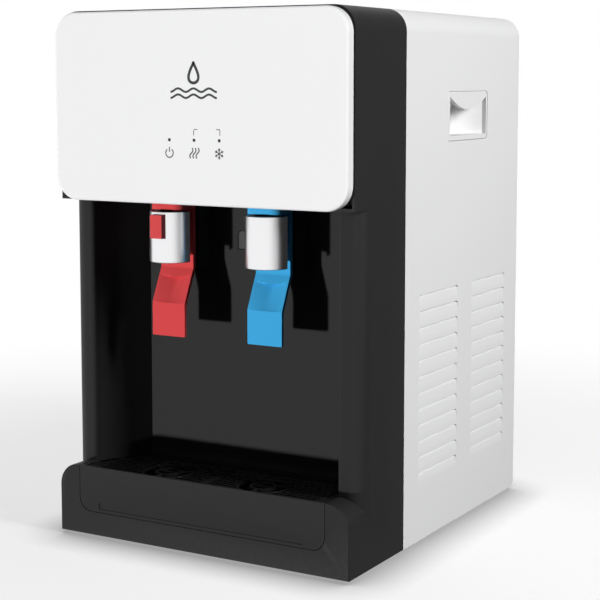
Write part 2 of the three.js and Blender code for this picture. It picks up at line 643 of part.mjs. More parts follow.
/** Moulded frame for the three rocker switches. */
function switchPlate() {
  const front = REAR_FACE_Y;
  const flange = box(FITTING_X - 17, FITTING_X + 17, front, front + 2, SWITCH_Z - 46, SWITCH_Z + 46);
  const tub = box(
    FITTING_X - 12.6, FITTING_X + 12.6, front - 16, front + 1, SWITCH_Z - 41.6, SWITCH_Z + 41.6,
  );
  const wells = Object.values(SWITCHES).map((z) =>
    box(FITTING_X - 10, FITTING_X + 10, front - 12, front + 5, z - 11, z + 11));
  return cut(join(flange, tub), ...wells);
}
piece("switch_plate", switchPlate(), blackDeep);

const ROCKER_TILT = 8;
const ROCKER_Y = CASE_BACK_Y - 5.4;
/** Rocker with a shallow two-way face, tilted to its off position. */
function rocker() {
  const face = new THREE.Shape();
  face.moveTo(-6, -8);
  face.lineTo(4.4, -9);
  face.quadraticCurveTo(2.2, 0, 4.4, 9);
  face.lineTo(-6, 8);
  return carryAcross(face, -9.4, 9.4, 6).rotate([ROCKER_TILT, 0, 0]);
}
for (const [name, z] of Object.entries(SWITCHES)) {
  const body = rocker().translate([FITTING_X, ROCKER_Y, z]);
  piece(`${name}_switch`, body, name === "hot" ? red : blackPlastic, [FITTING_X, ROCKER_Y, z]);
}

/** Threaded bulkhead fitting for the water line. */
function inletFitting() {
  const x = FITTING_X;
  const parts = [
    rod("y", 8, 335, 374, x, INLET_Z, 20),
    rod("y", 12, REAR_FACE_Y, REAR_PANEL_Y + 7, x, INLET_Z, 6),
    rod("y", 11, REAR_PANEL_Y - 5, REAR_PANEL_Y - GAP, x, INLET_Z, 6),
  ];
  const mouth = rod("y", 4.5, 360, 375, x, INLET_Z, 14);
  const bore = rod("y", 3.2, 330, 361, x, INLET_Z, 12);
  return cut(join(...parts), mouth, bore);
}
piece("water_inlet", inletFitting(), steel);

/** Round bush where the mains lead goes in. */
function cordGland() {
  const x = FITTING_X;
  const parts = [
    rod("y", 8, 345, 366, x, GLAND_Z, 20),
    rod("y", 11, REAR_FACE_Y, REAR_PANEL_Y + 5, x, GLAND_Z, 20),
    rod("y", 10.5, REAR_PANEL_Y - 4, REAR_PANEL_Y - GAP, x, GLAND_Z, 20),
  ];
  return cut(join(...parts), rod("y", 4, 340, 370, x, GLAND_Z, 14));
}
piece("cord_gland", cordGland(), rubber);

for (const [name, x] of Object.entries(DRAINS)) {
  const stub = join(
    rod("y", 7, 334, 366, x, DRAIN_Z, 18),
    rod("y", 10, REAR_FACE_Y, REAR_PANEL_Y + 4.6, x, DRAIN_Z, 18),
  );
  piece(`${name}_drain`, cut(stub, rod("y", 4.4, 330, 370, x, DRAIN_Z, 12)), hoseWhite);
  const ribs = Array.from({ length: 6 }, (_, i) =>
    box(-1, 1, 361, 376, 8.6, 10.4).rotate([0, 60 * i, 0]).translate([x, 0, DRAIN_Z]));
  const cap = join(rod("y", 9.4, 361, 376, x, DRAIN_Z, 18), ...ribs);
  const socket = rod("y", 7.4, 350, 371, x, DRAIN_Z, 18);
  const plug = rod("y", 4, 364, 372, x, DRAIN_Z, 12);
  piece(`${name}_drain_cap`, join(cut(cap, socket), plug), blackPlastic, [x, 361, DRAIN_Z]);
}

/** Condenser: a flat serpentine tube with upright cooling wires on its outer side. */
const CONDENSER = { x0: -128, x1: 72, z0: 76, z1: 428, rows: 9, y: 377.6 };
function condenser() {
  const c = CONDENSER;
  const pitch = (c.z1 - c.z0) / (c.rows - 1);
  const tube = [];
  for (let i = 0; i < c.rows; i++) {
    const z = c.z0 + i * pitch;
    tube.push(rod("x", 2.4, c.x0 + pitch / 2, c.x1 - pitch / 2, c.y, z, 6));
    if (i < c.rows - 1) {
      const side = i % 2 ? c.x0 + pitch / 2 : c.x1 - pitch / 2;
      const turn = i % 2 ? -1 : 1;
      const bend = Array.from({ length: 7 }, (_, k) => {
        const a = -Math.PI / 2 + (Math.PI * k) / 6;
        return [side + (turn * pitch * Math.cos(a)) / 2, c.y, z + pitch / 2 + (pitch * Math.sin(a)) / 2];
      });
      tube.push(pipe(bend, 2.4, 6, 6));
    }
  }
  const wires = [];
  for (let x = c.x0 + 28; x <= c.x1 - 27; x += 28.8) {
    wires.push(box(x - 0.8, x + 0.8, c.y + 1.8, c.y + 3.4, c.z0 - 8, c.z1 + 8));
  }
  return join(...tube, ...wires);
}
piece("condenser", condenser(), wireBlack);

for (const [name, x] of [["left", -94], ["right", 38]]) {
  const strip = box(x - 5, x + 5, 371, 372.6, 60, 444);
  const legs = [86, 418].map((z) => box(x - 5, x + 5, REAR_FACE_Y, 372, z - 6, z + 6));
  piece(`condenser_bracket_${name}`, join(strip, ...legs), wireBlack);
}

// ---- cooling system --------------------------------------------------------------------------------------
const COMPRESSOR = { x: -52, y: 262, z: 20, r: 50, height: 112 };
/** Welded can with its starting relay in front and two pipe stubs behind. */
function compressor() {
  const { x, y, z, r } = COMPRESSOR;
  const top = z + COMPRESSOR.height;
  const can = turned([
    [0, z], [r - 14, z], [r - 4, z + 8], [r, z + 22],
    [r, top - 32], [r - 5, top - 16], [r - 20, top - 4], [0, top],
  ], x, y, 20);
  const relay = box(x - 18, x + 18, y - r - 14, y - r + 8, z + 30, z + 74);
  const stubs = [-20, 20].map((dx) => rod("y", 3.4, y + r - 12, y + r + 20, x + dx, z + 70, 10));
  return join(can, relay, ...stubs);
}
piece("compressor", compressor(), wireBlack);

/** Mounting cradle: a pressed plate on four rubber-bushed posts. */
function compressorMount() {
  const { x, y } = COMPRESSOR;
  const tray = box(x - 66, x + 66, y - 50, y + 50, 15, 19.6);
  const corners = [[-56, -40], [56, -40], [-56, 40], [56, 40]];
  const posts = corners.map(([dx, dy]) => rod("z", 8, 5.5, 16, x + dx, y + dy, 14));
  return join(tray, ...posts);
}
piece("compressor_mount", compressorMount(), zinc);

const COLD = { x: 54, y: 152, z0: 276, z1: 420, r: 44 };
const HOT = { x: -66, y: 142, z0: 286, z1: 420, r: 40 };

/** Thin-walled vessel with dished ends and an open pipe stub at top and bottom. */
function vessel({ x, y, z0, z1, r }) {
  const shell = (inset) => turned([
    [0, z0 + inset], [r - 8, z0 + inset], [r - inset, z0 + 8],
    [r - inset, z1 - 8], [r - 8, z1 - inset], [0, z1 - inset],
  ], x, y, 22);
  const stubs = [rod("z", 5, z1 - 2, z1 + 20, x, y, 12), rod("z", 5, z0 - 26, z0 + 2, x, y, 12)];
  return cut(join(shell(0), ...stubs), shell(SHEET), rod("z", 3.8, z0 - 30, z1 + 30, x, y, 12));
}
piece("cold_tank", vessel(COLD), steel);
piece("hot_tank", vessel(HOT), steel);

/** Jacket round a vessel, with an open hole at top and bottom for its stubs. */
function jacket({ x, y, z0, z1, r }, space, thick, hole = 9) {
  const outer = rod("z", r + space + thick, z0 - 14, z1 + 14, x, y, 24);
  const inner = rod("z", r + space, z0 - 2, z1 + 2, x, y, 24);
  return cut(outer, inner, rod("z", hole, z0 - 20, z1 + 20, x, y, 14));
}
piece("cold_insulation", jacket(COLD, 9, 11.5), foam);
piece("hot_jacket", jacket(HOT, 4.5, 6), foam);

/** Copper evaporator wound on the cold tank. */
function evaporator() {
  const { x, y, z0, r } = COLD;
  const turns = 5;
  const perTurn = 11;
  const points = Array.from({ length: turns * perTurn + 1 }, (_, i) => {
    const a = (2 * Math.PI * i) / perTurn;
    return [x + (r + 5) * Math.cos(a), y + (r + 5) * Math.sin(a), z0 + 24 + (18 * i) / perTurn];
  });
  return pipe(points, 2.8, turns * perTurn, 6);
}
piece("evaporator_coil", evaporator(), copper);

/** Clamp-on heater band with its terminal block. */
function heaterBand() {
  const { x, y, r } = HOT;
  const ring = cut(rod("z", r + 3.6, 318, 352, x, y, 22), rod("z", r + 0.4, 310, 360, x, y, 22));
  return cut(ring, box(x - 4, x + 4, y - r - 6, y - r + 6, 310, 360));
}
piece("heater_band", heaterBand(), steel);

const drierProfile = [[0, 214], [3, 214], [3, 222], [11, 232], [11, 288], [3, 298], [3, 306], [0, 306]];
const drier = turned(drierProfile, 96, 330, 16);
piece("filter_drier", drier, copper);

/** Suction line from the evaporator down to the compressor. */
const suctionRoute = [
  [20, 212, 256], [10, 236, 240], [-4, 300, 190], [-18, 340, 150], [-32, 346, 110], [-32, 334.6, 90],
];
piece("suction_line", pipe(suctionRoute, 3, 18, 6), copper);

// ---- water path ------------------------------------------------------------------------------------------
function inletValve() {
  const body = box(98, 126, 296, 324, 106, 130);
  const coil = rod("z", 13, 130, 162, 112, 310, 18);
  const ports = [rod("y", 5, 286, 297, 112, 118, 12), rod("y", 5, 323, 330, 112, 118, 12)];
  return join(body, coil.translate([0, 0, -0.5]), ...ports);
}
piece("inlet_valve", inletValve(), blackPlastic);

const FILTERS = { sediment_filter: 62, carbon_filter: 112 };
for (const [name, x] of Object.entries(FILTERS)) {
  const can = turned([
    [0, 24], [18, 24], [22, 30], [22, 190], [20, 196], [20, 214], [8, 220], [8, 228], [0, 228],
  ], x, 232, 20);
  piece(name, can, hoseWhite);
}

/** Silicone hose from a tank's lower stub, up behind the bay wall, to the tap's feed hole. */
function tapHose(tank, x) {
  const start = tank.z0 - 26 - 1.6;
  const route = [
    [tank.x, tank.y, start], [tank.x, tank.y - 6, start - 12], [(tank.x + x) / 2, tank.y - 38, start - 14],
    [x, 89, 246], [x, 83.5, 264], [x, 83.5, 288], [x, 81.4, 298], [x, 76, 300.4],
  ];
  return pipe(route, 3, 20, 6);
}
piece("cold_hose", tapHose(COLD, TAP_X), hoseWhite);
piece("hot_hose", tapHose(HOT, -TAP_X), hoseWhite);

const ozone = join(box(-20, 22, 300, 330, 350, 400), rod("z", 4, 399, 412, 1, 315, 12));
piece("ozone_generator", ozone, blackPlastic);

export default dispenser;
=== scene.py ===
"""Looks of a countertop water dispenser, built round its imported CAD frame.

Metres, +Z up, the front faces -Y.
"""

import math

import bmesh
import bpy
import numpy as np
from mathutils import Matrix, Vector


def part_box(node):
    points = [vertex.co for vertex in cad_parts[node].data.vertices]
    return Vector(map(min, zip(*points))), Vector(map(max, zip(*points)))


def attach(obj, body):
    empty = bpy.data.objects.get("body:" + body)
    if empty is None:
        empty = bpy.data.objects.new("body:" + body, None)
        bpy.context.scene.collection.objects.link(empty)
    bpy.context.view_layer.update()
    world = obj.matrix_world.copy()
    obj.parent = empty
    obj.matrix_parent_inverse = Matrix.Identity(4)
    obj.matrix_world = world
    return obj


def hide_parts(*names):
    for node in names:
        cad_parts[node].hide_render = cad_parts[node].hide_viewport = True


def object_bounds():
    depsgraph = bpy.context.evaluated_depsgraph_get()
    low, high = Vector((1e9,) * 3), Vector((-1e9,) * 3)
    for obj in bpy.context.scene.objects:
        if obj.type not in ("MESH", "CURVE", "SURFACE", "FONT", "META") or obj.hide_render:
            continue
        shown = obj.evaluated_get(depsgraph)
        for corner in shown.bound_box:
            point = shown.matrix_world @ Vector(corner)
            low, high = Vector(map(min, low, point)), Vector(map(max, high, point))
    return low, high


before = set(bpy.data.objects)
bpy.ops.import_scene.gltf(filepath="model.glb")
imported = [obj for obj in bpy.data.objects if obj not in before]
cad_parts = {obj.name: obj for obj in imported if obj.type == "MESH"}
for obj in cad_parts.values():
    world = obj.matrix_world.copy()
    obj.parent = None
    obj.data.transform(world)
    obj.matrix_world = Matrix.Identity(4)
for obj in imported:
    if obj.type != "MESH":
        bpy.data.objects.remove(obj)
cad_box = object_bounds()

# Sizes below are in millimetres. X is across from the middle, Y counts back from the front plane, Z is up.
MM = 0.001
FRONT = cad_box[0].y


def span(node):
    """Lowest and highest corner of a CAD node in millimetres, with Y counted back from the front plane."""
    low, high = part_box(node)
    return [np.array((corner.x, corner.y - FRONT, corner.z)) / MM for corner in (low, high)]


# ---- Camera, floor and lights ------------------------------------------------------------------------
# A plain white studio. The camera stands to the front right, a little below the top of the casing. The key
# light comes from the front left and rises slightly, so the levers' shadows fall on the bay's back wall.
CAMERA_AT = (743, -1097, 421)
CAMERA_TURN = math.radians(30.15)  # to the left of straight ahead
CAMERA_DIP = math.radians(5.95)

camera = bpy.data.objects.new("camera", bpy.data.cameras.new("camera"))
bpy.context.collection.objects.link(camera)
camera.location = Vector(CAMERA_AT) * MM + Vector((0, FRONT, 0))
camera.rotation_euler = (math.pi / 2 - CAMERA_DIP, 0, CAMERA_TURN)
camera.data.lens = 91.9
camera.data.sensor_width = 36
camera.data.shift_y = -0.10
camera.data.clip_start = 0.05
bpy.context.scene.camera = camera
bpy.context.scene.view_settings.view_transform = "Standard"

FLOOR_REACH = 6.0
floor_mesh = bpy.data.meshes.new("floor")
corners = [(-1, -1, 0), (1, -1, 0), (1, 1, 0), (-1, 1, 0)]
floor_mesh.from_pydata([Vector(c) * FLOOR_REACH for c in corners], [], [(0, 1, 2, 3)])
floor = bpy.data.objects.new("floor", floor_mesh)
bpy.context.collection.objects.link(floor)
floor_paint = bpy.data.materials.new("floor")
floor_paint.use_nodes = True
paint = floor_paint.node_tree.nodes["Principled BSDF"]
paint.inputs["Roughness"].default_value = 0.8
paint.inputs["Specular IOR Level"].default_value = 0.0
paint.inputs["Emission Strength"].default_value = 1.0
# The sweep turns from paper near the object to plain white further out, so no horizon shows.
floor_place = floor_paint.node_tree.nodes.new("ShaderNodeTexCoord").outputs["Object"]
floor_reach = floor_paint.node_tree.nodes.new("ShaderNodeVectorMath")
floor_reach.operation = "LENGTH"
floor_paint.node_tree.links.new(floor_place, floor_reach.inputs[0])
# Close under the base an ambient occlusion mask darkens the floor's colour and glow: a painted contact
# shadow.
floor_contact_shadow = floor_paint.node_tree.nodes.new("ShaderNodeAmbientOcclusion")
floor_contact_shadow.inputs["Distance"].default_value = 0.05
floor_shade = floor_paint.node_tree.nodes.new("ShaderNodeMapRange")
floor_shade.inputs["From Min"].default_value = 0.5
floor_shade.inputs["To Min"].default_value = 0.45
floor_paint.node_tree.links.new(floor_contact_shadow.outputs["AO"], floor_shade.inputs["Value"])
for socket, near, far in (("Base Color", 0.30, 0.0), ("Emission Color", 0.74, 1.0)):
    fade = floor_paint.node_tree.nodes.new("ShaderNodeMapRange")
    fade.interpolation_type = "SMOOTHSTEP"
    fade.inputs["From Min"].default_value = 0.25
    fade.inputs["From Max"].default_value = 1.1
    fade.inputs["To Min"].default_value = near
    fade.inputs["To Max"].default_value = far
    floor_paint.node_tree.links.new(floor_reach.outputs["Value"], fade.inputs["Value"])
    shaded = floor_paint.node_tree.nodes.new("ShaderNodeMath")
    shaded.operation = "MULTIPLY"
    floor_paint.node_tree.links.new(fade.outputs[0], shaded.inputs[0])
    floor_paint.node_tree.links.new(floor_shade.outputs[0], shaded.inputs[1])
    floor_paint.node_tree.links.new(shaded.outputs[0], paint.inputs[socket])
floor_mesh.materials.append(floor_paint)
floor.visible_shadow = floor.visible_glossy = floor.visible_diffuse = False

world = bpy.data.worlds.new("studio")
bpy.context.scene.world = world
world.use_nodes = True
sky = world.node_tree
sky.nodes.clear()
sky_out = sky.nodes.new("ShaderNodeOutputWorld")
sky_seen = sky.nodes.new("ShaderNodeBackground")
sky_seen.inputs["Strength"].default_value = 1.0
sky_seen.inputs["Color"].default_value = (1, 1, 1, 1)
sky_lit = sky.nodes.new("ShaderNodeBackground")
sky_lit.inputs["Strength"].default_value = 0.012
sky_lit.inputs["Color"].default_value = (1, 1, 1, 1)
# What gloss and chrome reflect: a tent, white on the left and in front, that falls to grey on the right.
sky_tent = sky.nodes.new("ShaderNodeBackground")
sky_way = sky.nodes.new("ShaderNodeSeparateXYZ")
sky.links.new(sky.nodes.new("ShaderNodeTexCoord").outputs["Generated"], sky_way.inputs[0])
sky_turn = sky.nodes.new("ShaderNodeMath")
sky_turn.operation = "ARCTAN2"
sky.links.new(sky_way.outputs["X"], sky_turn.inputs[0])
sky_front = sky.nodes.new("ShaderNodeMath")
sky_front.operation = "MULTIPLY"
sky_front.inputs[1].default_value = -1.0
sky.links.new(sky_way.outputs["Y"], sky_front.inputs[0])
sky.links.new(sky_front.outputs[0], sky_turn.inputs[1])
sky_fall = sky.nodes.new("ShaderNodeMapRange")
sky_fall.interpolation_type = "SMOOTHSTEP"
for label, value in (("From Min", 0.6), ("From Max", 1.75), ("To Min", 1.3), ("To Max", 0.2)):
    sky_fall.inputs[label].default_value = value
sky.links.new(sky_turn.outputs[0], sky_fall.inputs["Value"])
sky.links.new(sky_fall.outputs[0], sky_tent.inputs["Strength"])
sky_path = sky.nodes.new("ShaderNodeLightPath")
sky_gloss = sky.nodes.new("ShaderNodeMixShader")
sky_pick = sky.nodes.new("ShaderNodeMixShader")
for mix, ray, first, second in (
    (sky_gloss, "Is Glossy Ray", sky_lit, sky_tent), (sky_pick, "Is Camera Ray", sky_gloss, sky_seen),
):
    sky.links.new(sky_path.outputs[ray], mix.inputs[0])
    sky.links.new(first.outputs[0], mix.inputs[1])
    sky.links.new(second.outputs[0], mix.inputs[2])
sky.links.new(sky_pick.outputs[0], sky_out.inputs["Surface"])

KEY_TURN = math.radians(26)
KEY_RISE = 0.20
key = bpy.data.objects.new("key", bpy.data.lights.new("key", "SUN"))
key.data.energy = 3.6
key.data.angle = math.radians(3)
key_way = Vector((math.sin(KEY_TURN), math.cos(KEY_TURN), KEY_RISE))
key.rotation_euler = key_way.to_track_quat("-Z", "Y").to_euler()
key.visible_glossy = False
bpy.context.collection.objects.link(key)


def softbox(name, at, toward, wide, high, power):
    """A rectangular area light at a point, facing another point."""
    lamp = bpy.data.lights.new(name, "AREA")
    lamp.shape = "RECTANGLE"
    lamp.size, lamp.size_y, lamp.energy = wide, high, power
    made = bpy.data.objects.new(name, lamp)
    bpy.context.collection.objects.link(made)
    made.location = at
    made.rotation_euler = (Vector(toward) - Vector(at)).to_track_quat("-Z", "Y").to_euler()


softbox("side_box", (2.1, -0.22, 1.15), (0.15, 0, 0.2), 0.45, 0.9, 49)
softbox("top_box", (0.1, 0.8, 2.6), (0, 0.1, 0), 1.6, 1.6, 3.2)


# ---- Black front moulding ----------------------------------------------------------------------------
# One satin black ABS moulding: the arch over the top and sides, both columns, the head surround and the base
# bumper. Its edges leave the mould with a small radius.
HALF = span("front_frame")[1][0]


def math_node(tree, operation, first, second, clamp=False):
    """A Math node between two values, each a number or a socket."""
    made = tree.nodes.new("ShaderNodeMath")
    made.operation = operation
    made.use_clamp = clamp
    for socket, value in zip(made.inputs, (first, second)):
        if isinstance(value, (int, float)):
            socket.default_value = value
        else:
            tree.links.new(value, socket)
    return made.outputs[0]


def noise_node(tree, vector, scale, detail=2.0, distortion=0.0):
    """A Noise node on a coordinate socket, with its scale a number or a socket."""
    made = tree.nodes.new("ShaderNodeTexNoise")
    made.inputs["Detail"].default_value = detail
    made.inputs["Distortion"].default_value = distortion
    tree.links.new(vector, made.inputs["Vector"])
    if isinstance(scale, (int, float)):
        made.inputs["Scale"].default_value = scale
    else:
        tree.links.new(scale, made.inputs["Scale"])
    return made.outputs["Fac"]


def new_group(name, inputs, outputs):
    """An empty shader node group. Inputs are given as (name, kind, value) and outputs as (name, kind)."""
    group = bpy.data.node_groups.new(name, "ShaderNodeTree")
    for label, kind, value in inputs:
        socket = group.interface.new_socket(label, in_out="INPUT", socket_type="NodeSocket" + kind)
        socket.default_value = value
    for label, kind in outputs:
        group.interface.new_socket(label, in_out="OUTPUT", socket_type="NodeSocket" + kind)
    return group, group.nodes.new("NodeGroupInput"), group.nodes.new("NodeGroupOutput")


def skin_group():
    """Moulded skin: spark-eroded grain as height, slow drift of tone and gloss, and scuffs that dull it."""
    group, given, result = new_group(
        "moulded_skin",
        [("Tone", "Color", (0.5, 0.5, 0.5, 1)), ("Gloss", "Float", 0.35), ("Grain", "Float", 1400.0),
         ("Drift", "Float", 0.06), ("Scuffs", "Float", 0.1)],
        [("Color", "Color"), ("Roughness", "Float"), ("Height", "Float")],
    )
    where = group.nodes.new("ShaderNodeTexCoord").outputs["Object"]
    grain = noise_node(group, where, given.outputs["Grain"])
    drift = noise_node(group, where, 9.0, 3.0)
    stretch = group.nodes.new("ShaderNodeMapping")
    stretch.inputs["Scale"].default_value = (0.4, 3.0, 1.6)
    group.links.new(where, stretch.inputs["Vector"])
    scuff = noise_node(group, stretch.outputs[0], 60.0, 6.0, 1.4)
    swing = math_node(group, "MULTIPLY", math_node(group, "SUBTRACT", drift, 0.5), given.outputs["Drift"])
    toned = group.nodes.new("ShaderNodeVectorMath")
    toned.operation = "SCALE"
    group.links.new(given.outputs["Tone"], toned.inputs[0])
    group.links.new(math_node(group, "ADD", swing, 1.0), toned.inputs["Scale"])
    marks = math_node(group, "MULTIPLY", math_node(group, "SUBTRACT", scuff, 0.6), 6.0, clamp=True)
    dull = math_node(group, "MULTIPLY", marks, given.outputs["Scuffs"])
    uneven = math_node(group, "ADD", dull, math_node(group, "MULTIPLY", swing, 1.5))
    group.links.new(toned.outputs[0], result.inputs["Color"])
    group.links.new(math_node(group, "ADD", given.outputs["Gloss"], uneven), result.inputs["Roughness"])
    group.links.new(math_node(group, "SUBTRACT", grain, 0.5), result.inputs["Height"])
    return group


def edge_group():
    """Rubbed edges: convex corners found from the surface's own curvature, broken up by noise."""
    group, given, result = new_group("rubbed_edges", [("Amount", "Float", 0.3)], [("Mask", "Float")])
    where = group.nodes.new("ShaderNodeTexCoord").outputs["Object"]
    bend = group.nodes.new("ShaderNodeNewGeometry").outputs["Pointiness"]
    crest = math_node(group, "MULTIPLY", math_node(group, "SUBTRACT", bend, 0.53), 9.0, clamp=True)
    broken = math_node(group, "MULTIPLY", crest, noise_node(group, where, 220.0, 4.0))
    mask = math_node(group, "MULTIPLY", broken, given.outputs["Amount"], clamp=True)
    group.links.new(mask, result.inputs["Mask"])
    return group


moulded_skin = skin_group()
rubbed_edges = edge_group()


def finish(name, tone, gloss, grain=1400.0, relief=0.03, drift=0.06, scuffs=0.08, metallic=0.0, specular=0.5,
           rub=0.0, rubbed=(0.5, 0.5, 0.5), coat=0.0):
    """A finish of moulded, painted or bare stock. Relief is the grain's height in millimetres."""
    made = bpy.data.materials.new(name)
    made.use_nodes = True
    tree = made.node_tree
    shader = tree.nodes["Principled BSDF"]
    shader.inputs["Metallic"].default_value = metallic
    shader.inputs["Specular IOR Level"].default_value = specular
    shader.inputs["Coat Weight"].default_value = coat
    shader.inputs["Coat Roughness"].default_value = 0.08
    skin = tree.nodes.new("ShaderNodeGroup")
    skin.node_tree = moulded_skin
    settings = {"Tone": (*tone, 1), "Gloss": gloss, "Grain": grain, "Drift": drift, "Scuffs": scuffs}
    for label, value in settings.items():
        skin.inputs[label].default_value = value
    color = skin.outputs["Color"]
    if rub:
        edges = tree.nodes.new("ShaderNodeGroup")
        edges.node_tree = rubbed_edges
        edges.inputs["Amount"].default_value = rub
        mixed = tree.nodes.new("ShaderNodeMix")
        mixed.data_type = "RGBA"
        mixed.inputs["B"].default_value = (*rubbed, 1)
        tree.links.new(edges.outputs["Mask"], mixed.inputs["Factor"])
        tree.links.new(color, mixed.inputs["A"])
        color = mixed.outputs["Result"]
    bump = tree.nodes.new("ShaderNodeBump")
    bump.inputs["Strength"].default_value = 0.6
    bump.inputs["Distance"].default_value = relief * MM
    tree.links.new(color, shader.inputs["Base Color"])
    tree.links.new(skin.outputs["Roughness"], shader.inputs["Roughness"])
    tree.links.new(skin.outputs["Height"], bump.inputs["Height"])
    tree.links.new(bump.outputs[0], shader.inputs["Normal"])
    return made


def grid(points, wrap=False):
    """A surface on a grid of points, rows by columns by XYZ, as (points, four-sided faces). Wrap joins the
    last column to the first."""
    rows, columns = points.shape[:2]
    index = np.arange(rows * columns).reshape(rows, columns)
    if wrap:
        index = np.hstack([index, index[:, :1]])
    faces = np.stack([index[:-1, :-1], index[1:, :-1], index[1:, 1:], index[:-1, 1:]], axis=-1)
    return points.reshape(-1, 3), faces.reshape(-1, 4)


def lid(ring):
    """One flat face inside a closed ring of points."""
    return ring, np.arange(len(ring))[None, :]


def slab(outer, inner, keep=None):
    """A wall between two grids of the same size. Faces left out of the keep mask are windows. The rim and
    each window get a wall wherever a kept face has no neighbour."""
    rows, columns = outer.shape[:2]
    count = rows * columns
    index = np.arange(count).reshape(rows, columns)
    faces = np.stack([index[:-1, :-1], index[1:, :-1], index[1:, 1:], index[:-1, 1:]], axis=-1)
    faces = faces[keep] if keep is not None else faces.reshape(-1, 4)
    start, end = faces.reshape(-1), np.roll(faces, -1, axis=1).reshape(-1)
    open_edge = ~np.isin(start * count + end, end * count + start)
    a, b = start[open_edge], end[open_edge]
    rim = np.stack([b, a, a + count, b + count], axis=-1)
    points = np.concatenate([outer.reshape(-1, 3), inner.reshape(-1, 3)])
    return points, np.concatenate([faces, faces[:, ::-1] + count, rim])


def arc(centre, radius, start, end, steps):
    """Points on an arc in two dimensions, angles in degrees."""
    turn = np.radians(np.linspace(start, end, steps + 1))
    return np.stack([centre[0] + radius * np.cos(turn), centre[1] + radius * np.sin(turn)], axis=-1)


def make_piece(name, surfaces, material, body="cabinet", nodes=(), base=None, edge=0.0, sharp=32,
               weld=0.002):
    """One visible piece: surfaces in millimetres, welded into a closed mesh, its sharp edges rounded."""
    mesh = bpy.data.meshes.new(name)
    points, faces, offset = [], [], 0
    for surface_points, surface_faces in surfaces:
        points.append(surface_points)
        faces.extend((surface_faces + offset).tolist())
        offset += len(surface_points)
    if points:
        placed = np.concatenate(points) * MM + np.array((0, FRONT, 0))
        mesh.from_pydata(placed.tolist(), [], faces)
    shape = bmesh.new()
    shape.from_mesh(mesh)
    if base:
        shape.from_mesh(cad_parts[base].data)
    bmesh.ops.remove_doubles(shape, verts=shape.verts, dist=weld * MM)
    if base:
        bmesh.ops.dissolve_limit(
            shape, angle_limit=math.radians(0.6), use_dissolve_boundaries=False, verts=shape.verts,
            edges=shape.edges,
        )
    bmesh.ops.recalc_face_normals(shape, faces=shape.faces)
    shape.to_mesh(mesh)
    shape.free()
    mesh.materials.clear()
    mesh.materials.append(material)
    made = bpy.data.objects.new(name, mesh)
    bpy.context.collection.objects.link(made)
    mesh.shade_smooth()
    mesh.set_sharp_from_angle(angle=math.radians(sharp))
    if edge:
        rounding = made.modifiers.new("edges", "BEVEL")
        rounding.width = edge * MM
        rounding.segments = 2
        rounding.limit_method = "ANGLE"
        rounding.angle_limit = math.radians(sharp)
        rounding.harden_normals = True
    flats = made.modifiers.new("flats", "WEIGHTED_NORMAL")
    flats.keep_sharp = True
    flats.weight = 90
    if nodes:
        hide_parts(*nodes)
    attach(made, body)
    return made


def finished(node, material, body="cabinet", edge=0.4):
    """A CAD solid as a finished moulding: facets merged, edges rounded and arcs smooth."""
    return make_piece(node + "_piece", [], material, body, (node,), base=node, edge=edge)


BLACK = (0.0200, 0.0200, 0.0205)
black_abs = finish(
    "black_abs", BLACK, 0.5, relief=0.02, drift=0.05, specular=0.12, rub=0.25, rubbed=(0.1, 0.1, 0.1))
finished("front_frame", black_abs, edge=0.8)


# ---- White front panel --------------------------------------------------------------------------------
# A glossy white ABS dish pressed over the head, with a soft rolled front edge. Three smoked lenses sit in
# it, and the marks are pad printed: a droplet over two ripples, and a power, a heat and a cold sign.
PANEL_LOW, PANEL_HIGH = span("front_panel")
PANEL_CORNER = 22.0
PANEL_ROLL = 2.6
PANEL_WALL = 2.5
LAMP_Z = (span("indicator_hot")[0][2] + span("indicator_hot")[1][2]) / 2
LAMP_NAMES = ("power", "hot", "cold")
LAMPS = [sum(corner[0] for corner in span(f"indicator_{name}")) / 2 for name in LAMP_NAMES]


def rounded_plate(inset, y, low=PANEL_LOW, high=PANEL_HIGH, corner=PANEL_CORNER, steps=16):
    """Closed ring at depth y: a rectangle in X and Z shrunk by the inset, its corners quarter circles."""
    radius = corner - inset
    x0, x1, z0, z1 = low[0] + corner, high[0] - corner, low[2] + corner, high[2] - corner
    ring = np.concatenate([
        arc((x1, z0), radius, -90, 0, steps), arc((x1, z1), radius, 0, 90, steps),
        arc((x0, z1), radius, 90, 180, steps), arc((x0, z0), radius, 180, 270, steps),
    ])
    return np.stack([ring[:, 0], np.full(len(ring), float(y)), ring[:, 1]], axis=-1)


def front_panel():
    """Rings carried along a section: back rim, side, quarter-circle roll, face, then the dish's inside."""
    depth = PANEL_HIGH[1]
    roll = arc((PANEL_ROLL, PANEL_ROLL), PANEL_ROLL, 180, 270, 8)
    section = [(0.5, depth), (0, depth - 0.5), *roll.tolist(), (PANEL_ROLL + 3, 0.0)]
    inside = [
        (PANEL_WALL + 3, PANEL_WALL), (PANEL_WALL, PANEL_WALL + 0.5),
        (PANEL_WALL, depth - 0.3), (PANEL_WALL - 0.3, depth),
    ]
    outer = np.stack([rounded_plate(inset, y) for inset, y in section])
    inner = np.stack([rounded_plate(inset, y) for inset, y in inside])
    rim = np.stack([inner[-1], outer[0]])
    return [grid(outer, True), lid(outer[-1]), grid(inner, True), lid(inner[0]), grid(rim, True)]


white_gloss = finish(
    "white_gloss", (0.83, 0.83, 0.835), 0.22, grain=700.0, relief=0.003, drift=0.012, scuffs=0.02,
    specular=0.3)
make_piece("front_panel_piece", front_panel(), white_gloss, nodes=("front_panel",))

